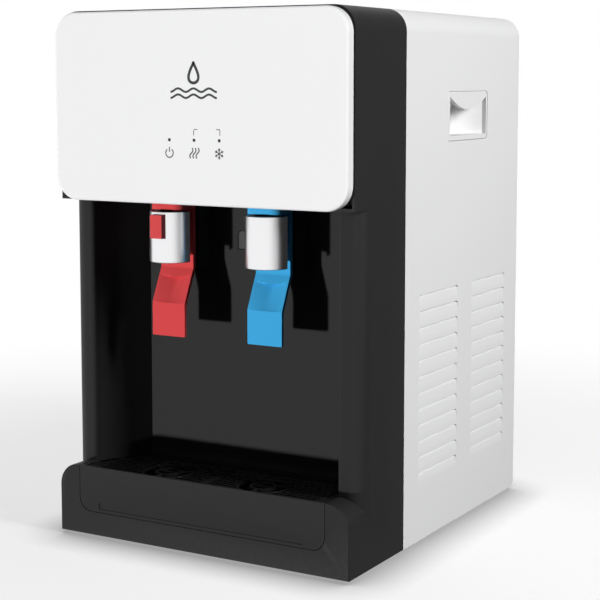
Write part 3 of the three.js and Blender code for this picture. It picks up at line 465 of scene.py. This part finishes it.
smoked = finish("smoked_lens", (0.010, 0.010, 0.011), 0.12, relief=0.002, scuffs=0.04, coat=0.5)
for lamp_name, lamp_x in zip(LAMP_NAMES, LAMPS):
    # A shallow domed lens: rings of radius r at depth falling as r squared, on a short barrel.
    r = np.array([1.6, 1.6, 1.45, 1.1, 0.6, 0.05])
    y = np.array([2.4, 0.05, -0.06, -0.16, -0.22, -0.24])
    turn = np.linspace(0, 2 * np.pi, 24, endpoint=False)
    dome = np.stack([
        lamp_x + np.outer(r, np.cos(turn)), np.repeat(y[:, None], 24, 1), LAMP_Z + np.outer(r, np.sin(turn)),
    ], axis=-1)
    lens = [grid(dome, True), lid(dome[-1]), lid(dome[0])]
    make_piece(f"indicator_{lamp_name}_piece", lens, smoked, nodes=(f"indicator_{lamp_name}",))


INK_FRONT, INK_BACK = -0.05, -0.01


def stroke(path, width, closed=False):
    """An inked film: a path in X and Z with half the width laid off along its normal on each side."""
    path = np.asarray(path, dtype=float)
    along = np.gradient(path, axis=0) if not closed else np.roll(path, -1, 0) - np.roll(path, 1, 0)
    normal = np.stack([-along[:, 1], along[:, 0]], axis=-1)
    normal /= np.linalg.norm(normal, axis=1, keepdims=True)
    sides = [path + normal * width / 2, path - normal * width / 2]
    front, back = (
        np.stack([np.stack([side[:, 0], np.full(len(side), y), side[:, 1]], -1) for side in sides])
        for y in (INK_FRONT, INK_BACK)
    )
    if closed:
        loop = np.stack([front[0], front[1], back[1], back[0], front[0]])
        return grid(loop, True)
    return slab(front, back)


def line(a, b, steps=2):
    """A straight path between two points."""
    return np.linspace(a, b, steps)


def bent(a, corner, b):
    """A path with one square corner, cut by a short chamfer so that the line keeps its width."""
    a, corner, b = (np.array(p, dtype=float) for p in (a, corner, b))
    before, after = corner + (a - corner) * 0.12, corner + (b - corner) * 0.12
    return np.stack([a, before, after, b])


SIGN_Z = 358.5
power_x, heat_x, cold_x = LAMPS[0], LAMPS[1] + 0.4, LAMPS[2]
signs = [
    stroke(arc((power_x, SIGN_Z - 0.3), 3.9, 128, 412, 28), 1.05),
    stroke(line((power_x, SIGN_Z + 0.6), (power_x, SIGN_Z + 4.8)), 1.05),
]
for shift in (-3.2, 0, 3.2):
    t = np.linspace(-1, 1, 25)
    wave = heat_x + shift + 1.1 * t + 1.0 * np.sin(np.pi * 1.1 * t)
    signs.append(stroke(np.stack([wave, SIGN_Z + 4.5 * t], -1), 1.25))
for angle in (90, 30, 150):
    way = np.array((math.cos(math.radians(angle)), math.sin(math.radians(angle))))
    centre = np.array((cold_x, SIGN_Z))
    signs.append(stroke(line(centre - 4.8 * way, centre + 4.8 * way), 0.9))
    for end in (1, -1):
        for swing in (38, -38):
            turned = math.radians(angle + swing)
            barb = np.array((math.cos(turned), math.sin(turned)))
            fork = centre + end * 2.4 * way
            signs.append(stroke(line(fork, fork + end * 1.9 * barb), 0.75))
signs.append(stroke(bent((-0.1, 373.9), (-0.1, 379.0), (3.8, 379.0)), 0.75))
signs.append(stroke(bent((26.8, 374.0), (26.8, 379.2), (23.2, 379.2)), 0.75))
grey_ink = finish("grey_ink", (0.10, 0.10, 0.105), 0.5, grain=2500.0, relief=0.004)
make_piece("panel_signs", signs, grey_ink, weld=0.0001)

t = np.linspace(0, 2 * np.pi, 49)[:-1]
drop = np.stack([7.4 * np.sin(t) * np.sin(t / 2) ** 1.6, 427.6 + 8.8 * np.cos(t)], -1)
badge = [stroke(drop, 2.6, closed=True)]
for row_z in (412.6, 407.4):
    x = np.linspace(-24, 24, 97)
    badge.append(stroke(np.stack([x, row_z + 1.5 * np.cos(x * np.pi / 8)], -1), 1.9))
dark_ink = finish("dark_ink", (0.028, 0.028, 0.03), 0.45, grain=2500.0, relief=0.004)
make_piece("panel_badge", badge, dark_ink, weld=0.0001)

board_green = finish("board_green", (0.02, 0.12, 0.05), 0.4, grain=300.0, relief=0.05, drift=0.3)
finished("control_board", board_green, edge=0.1)


# ---- Dispensing bay ----------------------------------------------------------------------------------
# Satin black liner with flared sides, a coved foot and a small round-topped night light in its back wall.
bay_abs = finish(
    "bay_abs", (0.031, 0.031, 0.0315), 0.5, grain=1700.0, relief=0.02, drift=0.05, specular=0.02)
finished("recess_liner", bay_abs, edge=0.5)
finished("night_light", smoked, edge=0.4)


# ---- Tray well, drip tray and grille -------------------------------------------------------------------
# The well is the deck round the grille; the tray slides into it and shows only its fascia, with a shallow
# pull groove. The grille is one moulding that drops in over the basin, with a ring target under each spout.
DEEP_BLACK = (0.012, 0.012, 0.0125)
deck_abs = finish(
    "deck_abs", DEEP_BLACK, 0.4, grain=1500.0, relief=0.02, drift=0.1, scuffs=0.12, specular=0.3)
finished("tray_well", deck_abs, edge=0.3)
finished("drip_tray", black_abs, "tray_body", edge=0.35)
grille_abs = finish("grille_abs", DEEP_BLACK, 0.27, grain=1500.0, relief=0.01, drift=0.1, scuffs=0.1)
finished("drip_grille", grille_abs, "grille_body", edge=0.6)


# ---- The two taps --------------------------------------------------------------------------------------
# A half-round chromed cover over a black valve barrel. The coloured lever hangs from a steel pin behind it:
# a collar over the cover, a flat arm, a scooped slope and a flat pad. The hot one has a lock button.
COVER_WALL = 1.6
COVER_STEPS = 48
ROLL = 0.6


def tap_cover(node, window=None):
    """Half a tube: a rounded wall section turned through 180 degrees about the tap's axis, then optionally
    pierced by a window, given as two X limits and two heights."""
    low, high = span(node)
    radius = (high[0] - low[0]) / 2
    x, y, z0, z1 = (low[0] + high[0]) / 2, low[1] + radius, low[2], high[2]
    turn = np.linspace(-180, 0, COVER_STEPS + 1)
    heights = [z0, z0 + ROLL, z0 + 6, z1 - 6, z1 - ROLL, z1]
    insets = [ROLL, 0, 0, 0, 0, ROLL]
    if window:
        edges = [math.degrees(math.asin(v / radius)) - 90 for v in window[:2]]
        turn = np.unique(np.concatenate([turn[np.abs(turn - edges[0]) > 1.5], edges]))
        turn = np.unique(np.concatenate([turn[np.abs(turn - edges[1]) > 1.5], edges]))
        heights = [z0, z0 + ROLL, z0 + 6, window[2], window[3], z1 - ROLL, z1]
        insets = [ROLL, 0, 0, 0, 0, 0, ROLL]
    angle = np.radians(turn)[None, :]
    reach = radius - np.array(insets)[:, None]
    z = np.repeat(np.array(heights)[:, None], angle.size, 1)
    outer = np.stack([x + reach * np.cos(angle), y + reach * np.sin(angle), z], axis=-1)
    hollow = radius - COVER_WALL + 0 * reach
    inner = np.stack([x + hollow * np.cos(angle), y + hollow * np.sin(angle), z], axis=-1)
    keep = np.ones((len(heights) - 1, angle.size - 1), bool)
    if window:
        first, last = (int(np.argmin(np.abs(turn - edge))) for edge in edges)
        keep[3, first:last] = False
    return [slab(outer, inner, keep)]


def brushed_group():
    """Very fine upright polishing lines, as a height."""
    group, given, result = new_group("polish_lines", [("Lines", "Float", 900.0)], [("Height", "Float")])
    where = group.nodes.new("ShaderNodeTexCoord").outputs["Object"]
    stretch = group.nodes.new("ShaderNodeMapping")
    stretch.inputs["Scale"].default_value = (1.0, 1.0, 0.02)
    group.links.new(where, stretch.inputs["Vector"])
    lines = noise_node(group, stretch.outputs[0], given.outputs["Lines"], 3.0)
    group.links.new(lines, result.inputs["Height"])
    return group


chrome = finish(
    "satin_chrome", (0.85, 0.85, 0.86), 0.30, grain=500.0, relief=0.002, drift=0.03, scuffs=0.04,
    metallic=1.0)
plating = chrome.node_tree
polish = plating.nodes.new("ShaderNodeGroup")
polish.node_tree = brushed_group()
polish_bump = plating.nodes.new("ShaderNodeBump")
polish_bump.inputs["Strength"].default_value = 0.08
polish_bump.inputs["Distance"].default_value = 0.01 * MM
plating.links.new(polish.outputs["Height"], polish_bump.inputs["Height"])
plating.links.new(plating.nodes["Bump"].outputs[0], polish_bump.inputs["Normal"])
plating.links.new(polish_bump.outputs[0], plating.nodes["Principled BSDF"].inputs["Normal"])

button_low, button_high = span("hot_lock_button")
windows = {"hot": (-6.6, 6.6, button_low[2] - 0.4, button_high[2] + 0.4), "cold": None}
for side, window in windows.items():
    cover = f"{side}_tap_cover"
    make_piece(cover + "_piece", tap_cover(cover, window), chrome, nodes=(cover,))

TROUGH_DEPTH = 4.8
FOLD_ABOVE_FOOT = 30.5
KNEE_ABOVE_FOOT = 61.5
ARM_THICK = 4.0
ARM_SETBACK = 14.5
PAD_THICK = 3.0
PAD_ROUND = 1.2
BORDER_DROP = 5.5


def lever(node):
    """Front and back faces over one outline. Down the lever the edge line steps from the arm to the slope
    and the pad. Below a border that hangs in a curve the slope sinks as a V, by depth times (1 - |u|) times
    the height above the fold to the power 0.6."""
    low, high = span(node)
    x, half = (low[0] + high[0]) / 2, (high[0] - low[0]) / 2
    arm_back = high[1]
    arm_front = arm_back - ARM_THICK
    pad_front = arm_front - ARM_SETBACK
    foot, fold, knee = low[2], low[2] + FOLD_ABOVE_FOOT, low[2] + KNEE_ABOVE_FOOT
    head = high[2] - 8.0
    z = np.concatenate([
        foot + PAD_ROUND * (1 - np.cos(np.radians(np.linspace(0, 90, 5)))),
        np.linspace(foot + 4, fold - 0.4, 6), [fold - 0.1, fold, fold + 0.02],
        np.linspace(fold + 0.4, knee, 34), np.linspace(knee + 1.5, head, 6),
    ])
    u = np.linspace(-1, 1, 41)
    across = np.abs(u)[None, :]
    rise = np.clip((z - fold) / (knee - fold), 0, 1)[:, None]
    edge_line = pad_front + (arm_front - pad_front) * rise
    border = knee - BORDER_DROP - 3.0 * (1 - across**2)
    sunk = np.clip((border - z[:, None]) / 0.8, 0, 1) * rise**0.6
    hinge = np.clip((across - 0.08) / 0.84, 0, 1)
    front = edge_line + TROUGH_DEPTH * sunk * (1 - hinge)
    short = PAD_ROUND - np.clip(z - foot, 0, PAD_ROUND)
    corner = PAD_ROUND - np.sqrt(np.clip(PAD_ROUND**2 - short**2, 0, None))
    width = (half - corner)[:, None]
    back_rise = np.clip((z - fold + 2) / (knee - fold + 2), 0, 1)[:, None]
    back = (pad_front + PAD_THICK) + (arm_back - pad_front - PAD_THICK) * back_rise + 0 * across
    back = np.maximum(back, front + 1.6)
    columns = x + width * u[None, :]
    rows = np.repeat(z[:, None], len(u), 1)
    blade = slab(np.stack([columns, front, rows], -1), np.stack([columns, back, rows], -1))
    return [blade, *collar(x, half, low[1], arm_back, high[2] - 8.6, high[2])]


def collar(x, half, front, back, z0, z1):
    """Collar over the cover: a plan ring between an outline that is round in front and a square hole."""
    radius = 9.0
    outer = np.concatenate([
        arc((x - half + radius, front + radius), radius, 180, 270, 8),
        arc((x + half - radius, front + radius), radius, 270, 360, 8),
        line((x + half, back), (x - half, back)),
    ])
    middle = np.array((x, (front + back) / 2))
    hole = middle + np.clip((outer - middle) * 2, (-11, -8), (11, 8))
    ring = np.concatenate([outer, outer[:1]]), np.concatenate([hole, hole[:1]])
    levels = []
    for flat, z in ((ring[0], z0), (ring[0], z1), (ring[1], z1), (ring[1], z0), (ring[0], z0)):
        levels.append(np.column_stack([flat, np.full(len(flat), z)]))
    return [grid(np.stack(levels))]


red_abs = finish(
    "red_abs", (0.60, 0.058, 0.062), 0.45, relief=0.012, specular=0.2, rub=0.15, rubbed=(0.75, 0.3, 0.3))
blue_abs = finish(
    "blue_abs", (0.045, 0.35, 0.66), 0.45, relief=0.012, specular=0.2, rub=0.15, rubbed=(0.35, 0.6, 0.8))
steel = finish(
    "turned_steel", (0.55, 0.55, 0.56), 0.30, grain=900.0, relief=0.01, metallic=1.0, rub=0.3,
    rubbed=(0.8, 0.8, 0.8))
for side, colour, slot in (("hot", red_abs, "red_plastic"), ("cold", blue_abs, "blue_plastic")):
    blade = f"{side}_lever"
    make_piece(blade + "_piece", lever(blade), colour, blade + "_body", (blade,), edge=0.3)
    finished(f"{side}_tap_body", black_abs, edge=0.4)
    finished(f"{side}_tap_bracket", bay_abs, edge=0.6)
    finished(f"{side}_lever_pin", steel, edge=0.2)
finished("hot_lock_button", red_abs, "lock_button_body", edge=0.5)


# ---- White casing ----------------------------------------------------------------------------------------
# One white textured ABS arch over the sides and top. Each side has two columns of louvre grooves, with a
# slit under the top edge and running out flush at the foot, and a window for the carrying grip.
CASE_LOW, CASE_HIGH = span("casing")
CASE_WALL = 2.8
CASE_CORNER = 20.0
CASE_HEEL = 5.0
LOUVRE_ROWS = 12
LOUVRE_TOP = 229.3
LOUVRE_PITCH = 14.8
LOUVRE_HEIGHT = 10.5
LOUVRE_DEPTH = 1.2
LOUVRE_SLIT = 2.5
LOUVRE_SLIT_END = 2.3
LOUVRE_SLIT_RAMP = 1.1
LOUVRE_WALL = 0.35
LOUVRE_CORNER = 4.0
LOUVRE_COLUMNS = ((132.0, 216.5), (247.7, 329.0))
GRIP_LOW, GRIP_HIGH = span("grip_right")
GRIP_GAP = 0.35
GRIP_CORNER = 4.0


def rounded_rim(y, z, low, high, corner):
    """Moves points on a rectangle's edge onto quarter circles at its corners: the vector from the inner
    rectangle is given the corner's radius."""
    nearest_y = np.clip(y, low[0] + corner, high[0] - corner)
    nearest_z = np.clip(z, low[1] + corner, high[1] - corner)
    dy, dz = y - nearest_y, z - nearest_z
    scale = corner / np.maximum(np.hypot(dy, dz), corner)
    return nearest_y + dy * scale, nearest_z + dz * scale


def louvre_depth(y, z):
    """Depth of the grooves at a point of the side: a ramp proportional to height in the groove and a narrow
    slit under its top edge, inside steep walls that follow a rectangle with rounded top corners."""
    depth = np.zeros(np.broadcast(y, z).shape)
    for y0, y1 in LOUVRE_COLUMNS:
        for row in range(LOUVRE_ROWS):
            top = LOUVRE_TOP - row * LOUVRE_PITCH
            foot = top - LOUVRE_HEIGHT
            from_side, from_top = np.minimum(y - y0, y1 - y), top - z
            corner = LOUVRE_CORNER - np.hypot(
                np.clip(LOUVRE_CORNER - from_side, 0, None), np.clip(LOUVRE_CORNER - from_top, 0, None))
            inside = np.where((from_side < LOUVRE_CORNER) & (from_top < LOUVRE_CORNER), corner,
                              np.minimum(from_side, from_top))
            wall = np.clip(inside / LOUVRE_WALL, 0, 1)
            ramp = LOUVRE_DEPTH * np.clip((z - foot) / LOUVRE_HEIGHT, 0, 1)
            in_slit = np.clip((LOUVRE_SLIT_END - from_top) / LOUVRE_SLIT_RAMP, 0, 1)
            slit = (LOUVRE_SLIT - LOUVRE_DEPTH) * in_slit
            below_top = z < top + 0.01
            depth = np.maximum(depth, (ramp + slit) * below_top * wall * wall * (3 - 2 * wall))
    return depth


def side_lines():
    """Grid lines on a side: fine where the grooves and the grip's window turn, coarse elsewhere."""
    step = np.array([-0.3, 0, 0.3, 0.6, 0.9, 1.4, 2.2, 3.2, 4.5, 7.0])
    y = [np.linspace(CASE_LOW[1] + 1, CASE_HIGH[1] - 6, 14), [CASE_HIGH[1] - CASE_HEEL, CASE_HIGH[1] - 2.5]]
    for y0, y1 in LOUVRE_COLUMNS:
        y += [y0 + step, y1 - step]
    z = [np.linspace(CASE_HIGH[2] - CASE_CORNER, GRIP_HIGH[2] + 6, 4), CASE_LOW[2] + np.array([0, 2.5, 5])]
    for row in range(LOUVRE_ROWS):
        z += [LOUVRE_TOP - row * LOUVRE_PITCH - step, [LOUVRE_TOP - row * LOUVRE_PITCH - LOUVRE_HEIGHT]]
    rim = np.array([0, 0.5, 1.2, 2.2, 3.2, GRIP_CORNER])
    for low, high, lines in ((GRIP_LOW[1], GRIP_HIGH[1], y), (GRIP_LOW[2], GRIP_HIGH[2], z)):
        lines += [low - GRIP_GAP + rim, high + GRIP_GAP - rim, [low - 3, high + 3]]
    y, z = (np.unique(np.round(np.concatenate(lines), 3)) for lines in (y, z))
    return y[np.append(True, np.diff(y) > 0.12)], z[np.append(True, np.diff(z) > 0.12)]


def casing():
    """An arch path in X and Z, up one side, round both corners and down the other, carried back along Y as a
    wall. Both long edges roll in by a small radius, and the bottom edge rises towards the heel."""
    y, z = side_lines()
    half, top = CASE_HIGH[0], CASE_HIGH[2]
    turn = arc((half - CASE_CORNER, top - CASE_CORNER), CASE_CORNER, 0, 90, 16)[1:-1]
    path = np.concatenate([
        np.stack([np.full(len(z), half), z], -1), turn, [(half - CASE_CORNER, top), (0, top)],
    ])
    inset = np.concatenate([[0.6, 0.18, 0.0], np.zeros(len(y)), [0.0, 0.18, 0.6]])
    lip = np.array([0, 0.18, 0.6])
    depth_y = np.concatenate([CASE_LOW[1] + lip, y, CASE_HIGH[1] - lip[::-1]])
    centre = np.minimum(path, (half - CASE_CORNER, top - CASE_CORNER))
    out = path - centre
    on_side = np.arange(len(path)) < len(z)
    out[on_side] = (1, 0)
    out /= np.linalg.norm(out, axis=1, keepdims=True)
    sink = inset[None, :] + np.where(on_side[:, None], louvre_depth(depth_y[None, :], path[:, 1:2]), 0)
    near_foot = np.clip(1 - (path[:, 1:2] - CASE_LOW[2]) / 12, 0, 1)
    rise = np.clip(depth_y - CASE_HIGH[1] + CASE_HEEL, 0, None)[None, :] * near_foot

    def half_wall(sunk):
        x = path[:, :1] - out[:, :1] * sunk
        up = path[:, 1:] - out[:, 1:] * sunk + rise
        return np.stack([x, np.broadcast_to(depth_y, x.shape), up], -1)

    outer, inner = half_wall(sink), half_wall(np.full_like(sink, CASE_WALL))
    low = GRIP_LOW[1:] - GRIP_GAP
    high = GRIP_HIGH[1:] + GRIP_GAP
    rows = np.flatnonzero(on_side & (path[:, 1] > low[1] - 0.1) & (path[:, 1] < high[1] + 0.1))
    columns = np.flatnonzero((depth_y > low[0] - 0.1) & (depth_y < high[0] + 0.1))
    block = np.ix_(rows, columns)
    for wall in (outer, inner):
        rim_y, rim_z = rounded_rim(wall[block + (1,)], wall[block + (2,)], low, high, GRIP_CORNER)
        wall[block + (1,)], wall[block + (2,)] = rim_y, rim_z
    keep = np.ones((len(path) - 1, len(depth_y) - 1), bool)
    keep[rows[0]:rows[-1], columns[0]:columns[-1]] = False
    mirrored = [np.flip(wall, axis=0)[1:] * (-1, 1, 1) for wall in (outer, inner)]
    keep = np.concatenate([keep, np.flip(keep, axis=0)])
    return [slab(np.concatenate([outer, mirrored[0]]), np.concatenate([inner, mirrored[1]]), keep)]


white_casing = finish(
    "white_casing", (0.80, 0.80, 0.805), 0.42, grain=1300.0, relief=0.015, drift=0.015, scuffs=0.05,
    specular=0.3)
make_piece("casing_piece", casing(), white_casing, nodes=("casing",))


# ---- Carrying grips --------------------------------------------------------------------------------------
# A white insert in each side: a bezel flush with the casing, a mouth with a lip that hangs in a curve, and a
# finger pocket whose back wall bows inwards.
MOUTH_INSET = 5.0
LIP_SAG = 12.0
LIP_THICK = 4.0
POCKET_BOW = 22.0


def grip(side):
    """A bezel between a rounded rectangle and the mouth, the lip's edge, and a pocket whose back lies at
    sag times (1 - u squared) behind the lip."""
    low, high = GRIP_LOW[1:], GRIP_HIGH[1:]
    face_x = HALF - 0.25
    y0, y1 = low[0] + MOUTH_INSET - 0.2, high[0] - 3
    z0, z1 = low[1] + MOUTH_INSET - 0.3, high[1] - MOUTH_INSET + 0.3
    n = 24
    u = np.linspace(-1, 1, n + 1)
    mouth_y = (y0 + y1) / 2 + (y1 - y0) / 2 * u
    smile = z1 - LIP_SAG * (1 - u**2)

    def frame_loop(across, foot, head):
        """Closed loop in Y and Z: along the foot, up the rear, back along the head, down the front."""
        rear, front = (np.linspace(foot[end], head[end], 13) for end in (-1, 0))
        sides = [(across, foot), (across[-1], rear), (across[::-1], head[::-1]), (across[0], front[::-1])]
        return np.concatenate([np.stack(np.broadcast_arrays(*side), -1)[:-1] for side in sides])

    mouth = frame_loop(mouth_y, np.full(n + 1, z0), smile)
    spread_y = (low[0] + high[0]) / 2 + (high[0] - low[0]) / 2 * u
    rim = frame_loop(spread_y, np.full(n + 1, low[1]), np.full(n + 1, high[1]))
    rim = np.stack(rounded_rim(rim[:, 0], rim[:, 1], low, high, GRIP_CORNER - GRIP_GAP), -1)
    box = np.clip(rim, low + 2, high - 2)

    def at(flat, x):
        return np.stack([np.full(len(flat), float(x)), flat[:, 0], flat[:, 1]], -1)

    lip_x = face_x - LIP_THICK
    shrink = rim - (low + high) / 2
    eased = (low + high) / 2 + shrink * (1 - 0.5 / np.abs(shrink).max(axis=0))
    rings = [
        at(box, GRIP_LOW[0]), at(box, lip_x - 0.5), at(rim, lip_x - 0.5), at(rim, face_x - 0.4),
        at(eased, face_x), at(mouth, face_x), at(mouth, lip_x),
    ]
    back_x = lip_x - POCKET_BOW * (1 - u**2)
    levels = np.stack([back_x, mouth_y], -1)

    def shelf(z):
        front = np.stack([np.full(n + 1, lip_x), mouth_y, np.full(n + 1, z)], -1)
        return grid(np.stack([front, np.column_stack([levels, np.full(n + 1, z)])]))

    pocket = np.stack([np.column_stack([levels, np.full(n + 1, z)]) for z in np.linspace(z0, z1, 8)])
    lip_back = np.stack([
        at(np.stack([mouth_y, smile], -1), lip_x), at(np.stack([mouth_y, np.full(n + 1, z1)], -1), lip_x),
    ])
    surfaces = [
        grid(np.stack(rings), True), lid(rings[0]), grid(pocket), shelf(z0), shelf(z1), grid(lip_back),
    ]
    return [(points * (side, 1, 1), faces) for points, faces in surfaces]


make_piece("grip_right_piece", grip(1), white_casing, nodes=("grip_right",))
make_piece("grip_left_piece", grip(-1), white_casing, nodes=("grip_left",))


# ---- Underside: base plate and feet ----------------------------------------------------------------------
# A galvanised steel floor, cut and folded from sheet, and four moulded rubber feet pushed into its holes.
zinc = finish(
    "galvanised_sheet", (0.42, 0.43, 0.44), 0.42, grain=60.0, relief=0.01, drift=0.35, scuffs=0.2,
    metallic=1.0)
rubber = finish("black_rubber", (0.018, 0.018, 0.018), 0.75, grain=1200.0, relief=0.05, drift=0.1)
finished("base_plate", zinc, edge=0.3)
for corner_name in ("front_left", "front_right", "rear_left", "rear_right"):
    finished("foot_" + corner_name, rubber, edge=0.4)


# ---- Back: rear panel, switches and fittings -------------------------------------------------------------
# A galvanised sheet inside the casing's rim carries the three rocker switches, the water inlet, the bush for
# the mains lead and the two drains with their caps.
finished("rear_panel", zinc, edge=0.25)
finished("switch_plate", deck_abs, edge=0.5)
for name, paint in (("hot", red_abs), ("cold", black_abs), ("light", black_abs)):
    slot = "red_plastic" if name == "hot" else "black_plastic"
    finished(f"{name}_switch", paint, f"{name}_switch_body", edge=0.4)
nylon = finish("white_nylon", (0.70, 0.72, 0.70), 0.45, grain=900.0, relief=0.02, drift=0.05)
finished("water_inlet", steel, edge=0.4)
finished("cord_gland", rubber, edge=0.4)
for name in ("hot", "cold"):
    finished(f"{name}_drain", nylon, edge=0.4)
    finished(f"{name}_drain_cap", black_abs, f"{name}_drain_cap_body", edge=0.3)


# ---- Condenser -------------------------------------------------------------------------------------------
# A flat serpentine of steel tube with close upright wires welded to both sides, all stove-enamelled black,
# held off the rear panel by two strips.
COIL_LOW, COIL_HIGH = span("condenser")
COIL_ROWS = 9
TUBE_R = 2.4
WIRE_R = 0.75
WIRE_PITCH = 6.0


def tube(path, radius, across, sides=12):
    """A round tube: a circle in the plane of the path's normal and a fixed across direction."""
    along = np.gradient(path, axis=0)
    along /= np.linalg.norm(along, axis=1, keepdims=True)
    across = np.broadcast_to(across, path.shape)
    side = np.cross(along, across)
    side /= np.linalg.norm(side, axis=1, keepdims=True)
    turn = np.linspace(0, 2 * np.pi, sides, endpoint=False)[None, :, None]
    rings = path[:, None] + radius * (np.cos(turn) * side[:, None] + np.sin(turn) * across[:, None])
    return [grid(rings, True), lid(rings[0]), lid(rings[-1])]


def serpentine(pitch, x0, x1, z0, y):
    """Rows joined by half circles of radius pitch / 2, alternately at the right and the left."""
    runs = []
    for row in range(COIL_ROWS):
        z, way = z0 + row * pitch, 1 if row % 2 == 0 else -1
        ends = (x0, x1) if way > 0 else (x1, x0)
        runs.append(np.stack([np.linspace(*ends, 6), np.full(6, z)], -1))
        if row < COIL_ROWS - 1:
            bend = arc((0, 0), pitch / 2, -90, 90, 14)[1:-1]
            runs.append(np.stack([ends[1] + way * bend[:, 0], z + pitch / 2 + bend[:, 1]], -1))
    flat = np.concatenate(runs)
    return np.stack([flat[:, 0], np.full(len(flat), y), flat[:, 1]], -1)


def condenser():
    """The serpentine, then wires as straight tubes on its outer and inner side at one pitch."""
    z0, z1 = COIL_LOW[2] + 8, COIL_HIGH[2] - 8
    pitch = (z1 - z0) / (COIL_ROWS - 1)
    x0, x1 = COIL_LOW[0] + TUBE_R + pitch / 2, COIL_HIGH[0] - TUBE_R - pitch / 2
    y = COIL_LOW[1] + TUBE_R
    parts = tube(serpentine(pitch, x0, x1, z0, y), TUBE_R, (0, 1, 0))
    for x in np.arange(x0 - 12, x1 + 12.1, WIRE_PITCH):
        for depth in (y + TUBE_R + 0.3, y - TUBE_R - 0.3):
            upright = np.linspace((x, depth, z0 - 8), (x, depth, z1 + 8), 4)
            parts += tube(upright, WIRE_R, (0, 1, 0), 6)
    return parts


enamel = finish(
    "black_enamel", (0.018, 0.018, 0.019), 0.38, grain=500.0, relief=0.02, drift=0.15, scuffs=0.15)
make_piece("condenser_piece", condenser(), enamel, nodes=("condenser",), weld=0.0001)
for name in ("left", "right"):
    finished(f"condenser_bracket_{name}", enamel, edge=0.2)


# ---- Inside the cabinet ----------------------------------------------------------------------------------
# Compressor and cradle, the two tanks in their jackets, the copper circuit, the water path, the ozone unit.
# They stay as the CAD solids, each with its own finish.
foam = finish("expanded_foam", (0.72, 0.70, 0.62), 0.9, grain=350.0, relief=0.3, drift=0.08)
copper = finish(
    "copper_tube", (0.75, 0.33, 0.18), 0.30, grain=250.0, relief=0.01, drift=0.3, scuffs=0.25,
    metallic=1.0)
INSIDE = {
    "compressor": enamel, "compressor_mount": zinc, "cold_tank": steel, "hot_tank": steel,
    "cold_insulation": foam, "hot_jacket": foam, "evaporator_coil": copper, "heater_band": steel,
    "filter_drier": copper, "suction_line": copper, "inlet_valve": black_abs, "sediment_filter": nylon,
    "carbon_filter": nylon, "cold_hose": nylon, "hot_hose": nylon, "ozone_generator": black_abs,
}
for node, paint in INSIDE.items():
    for material_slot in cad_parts[node].material_slots:
        material_slot.material = paint
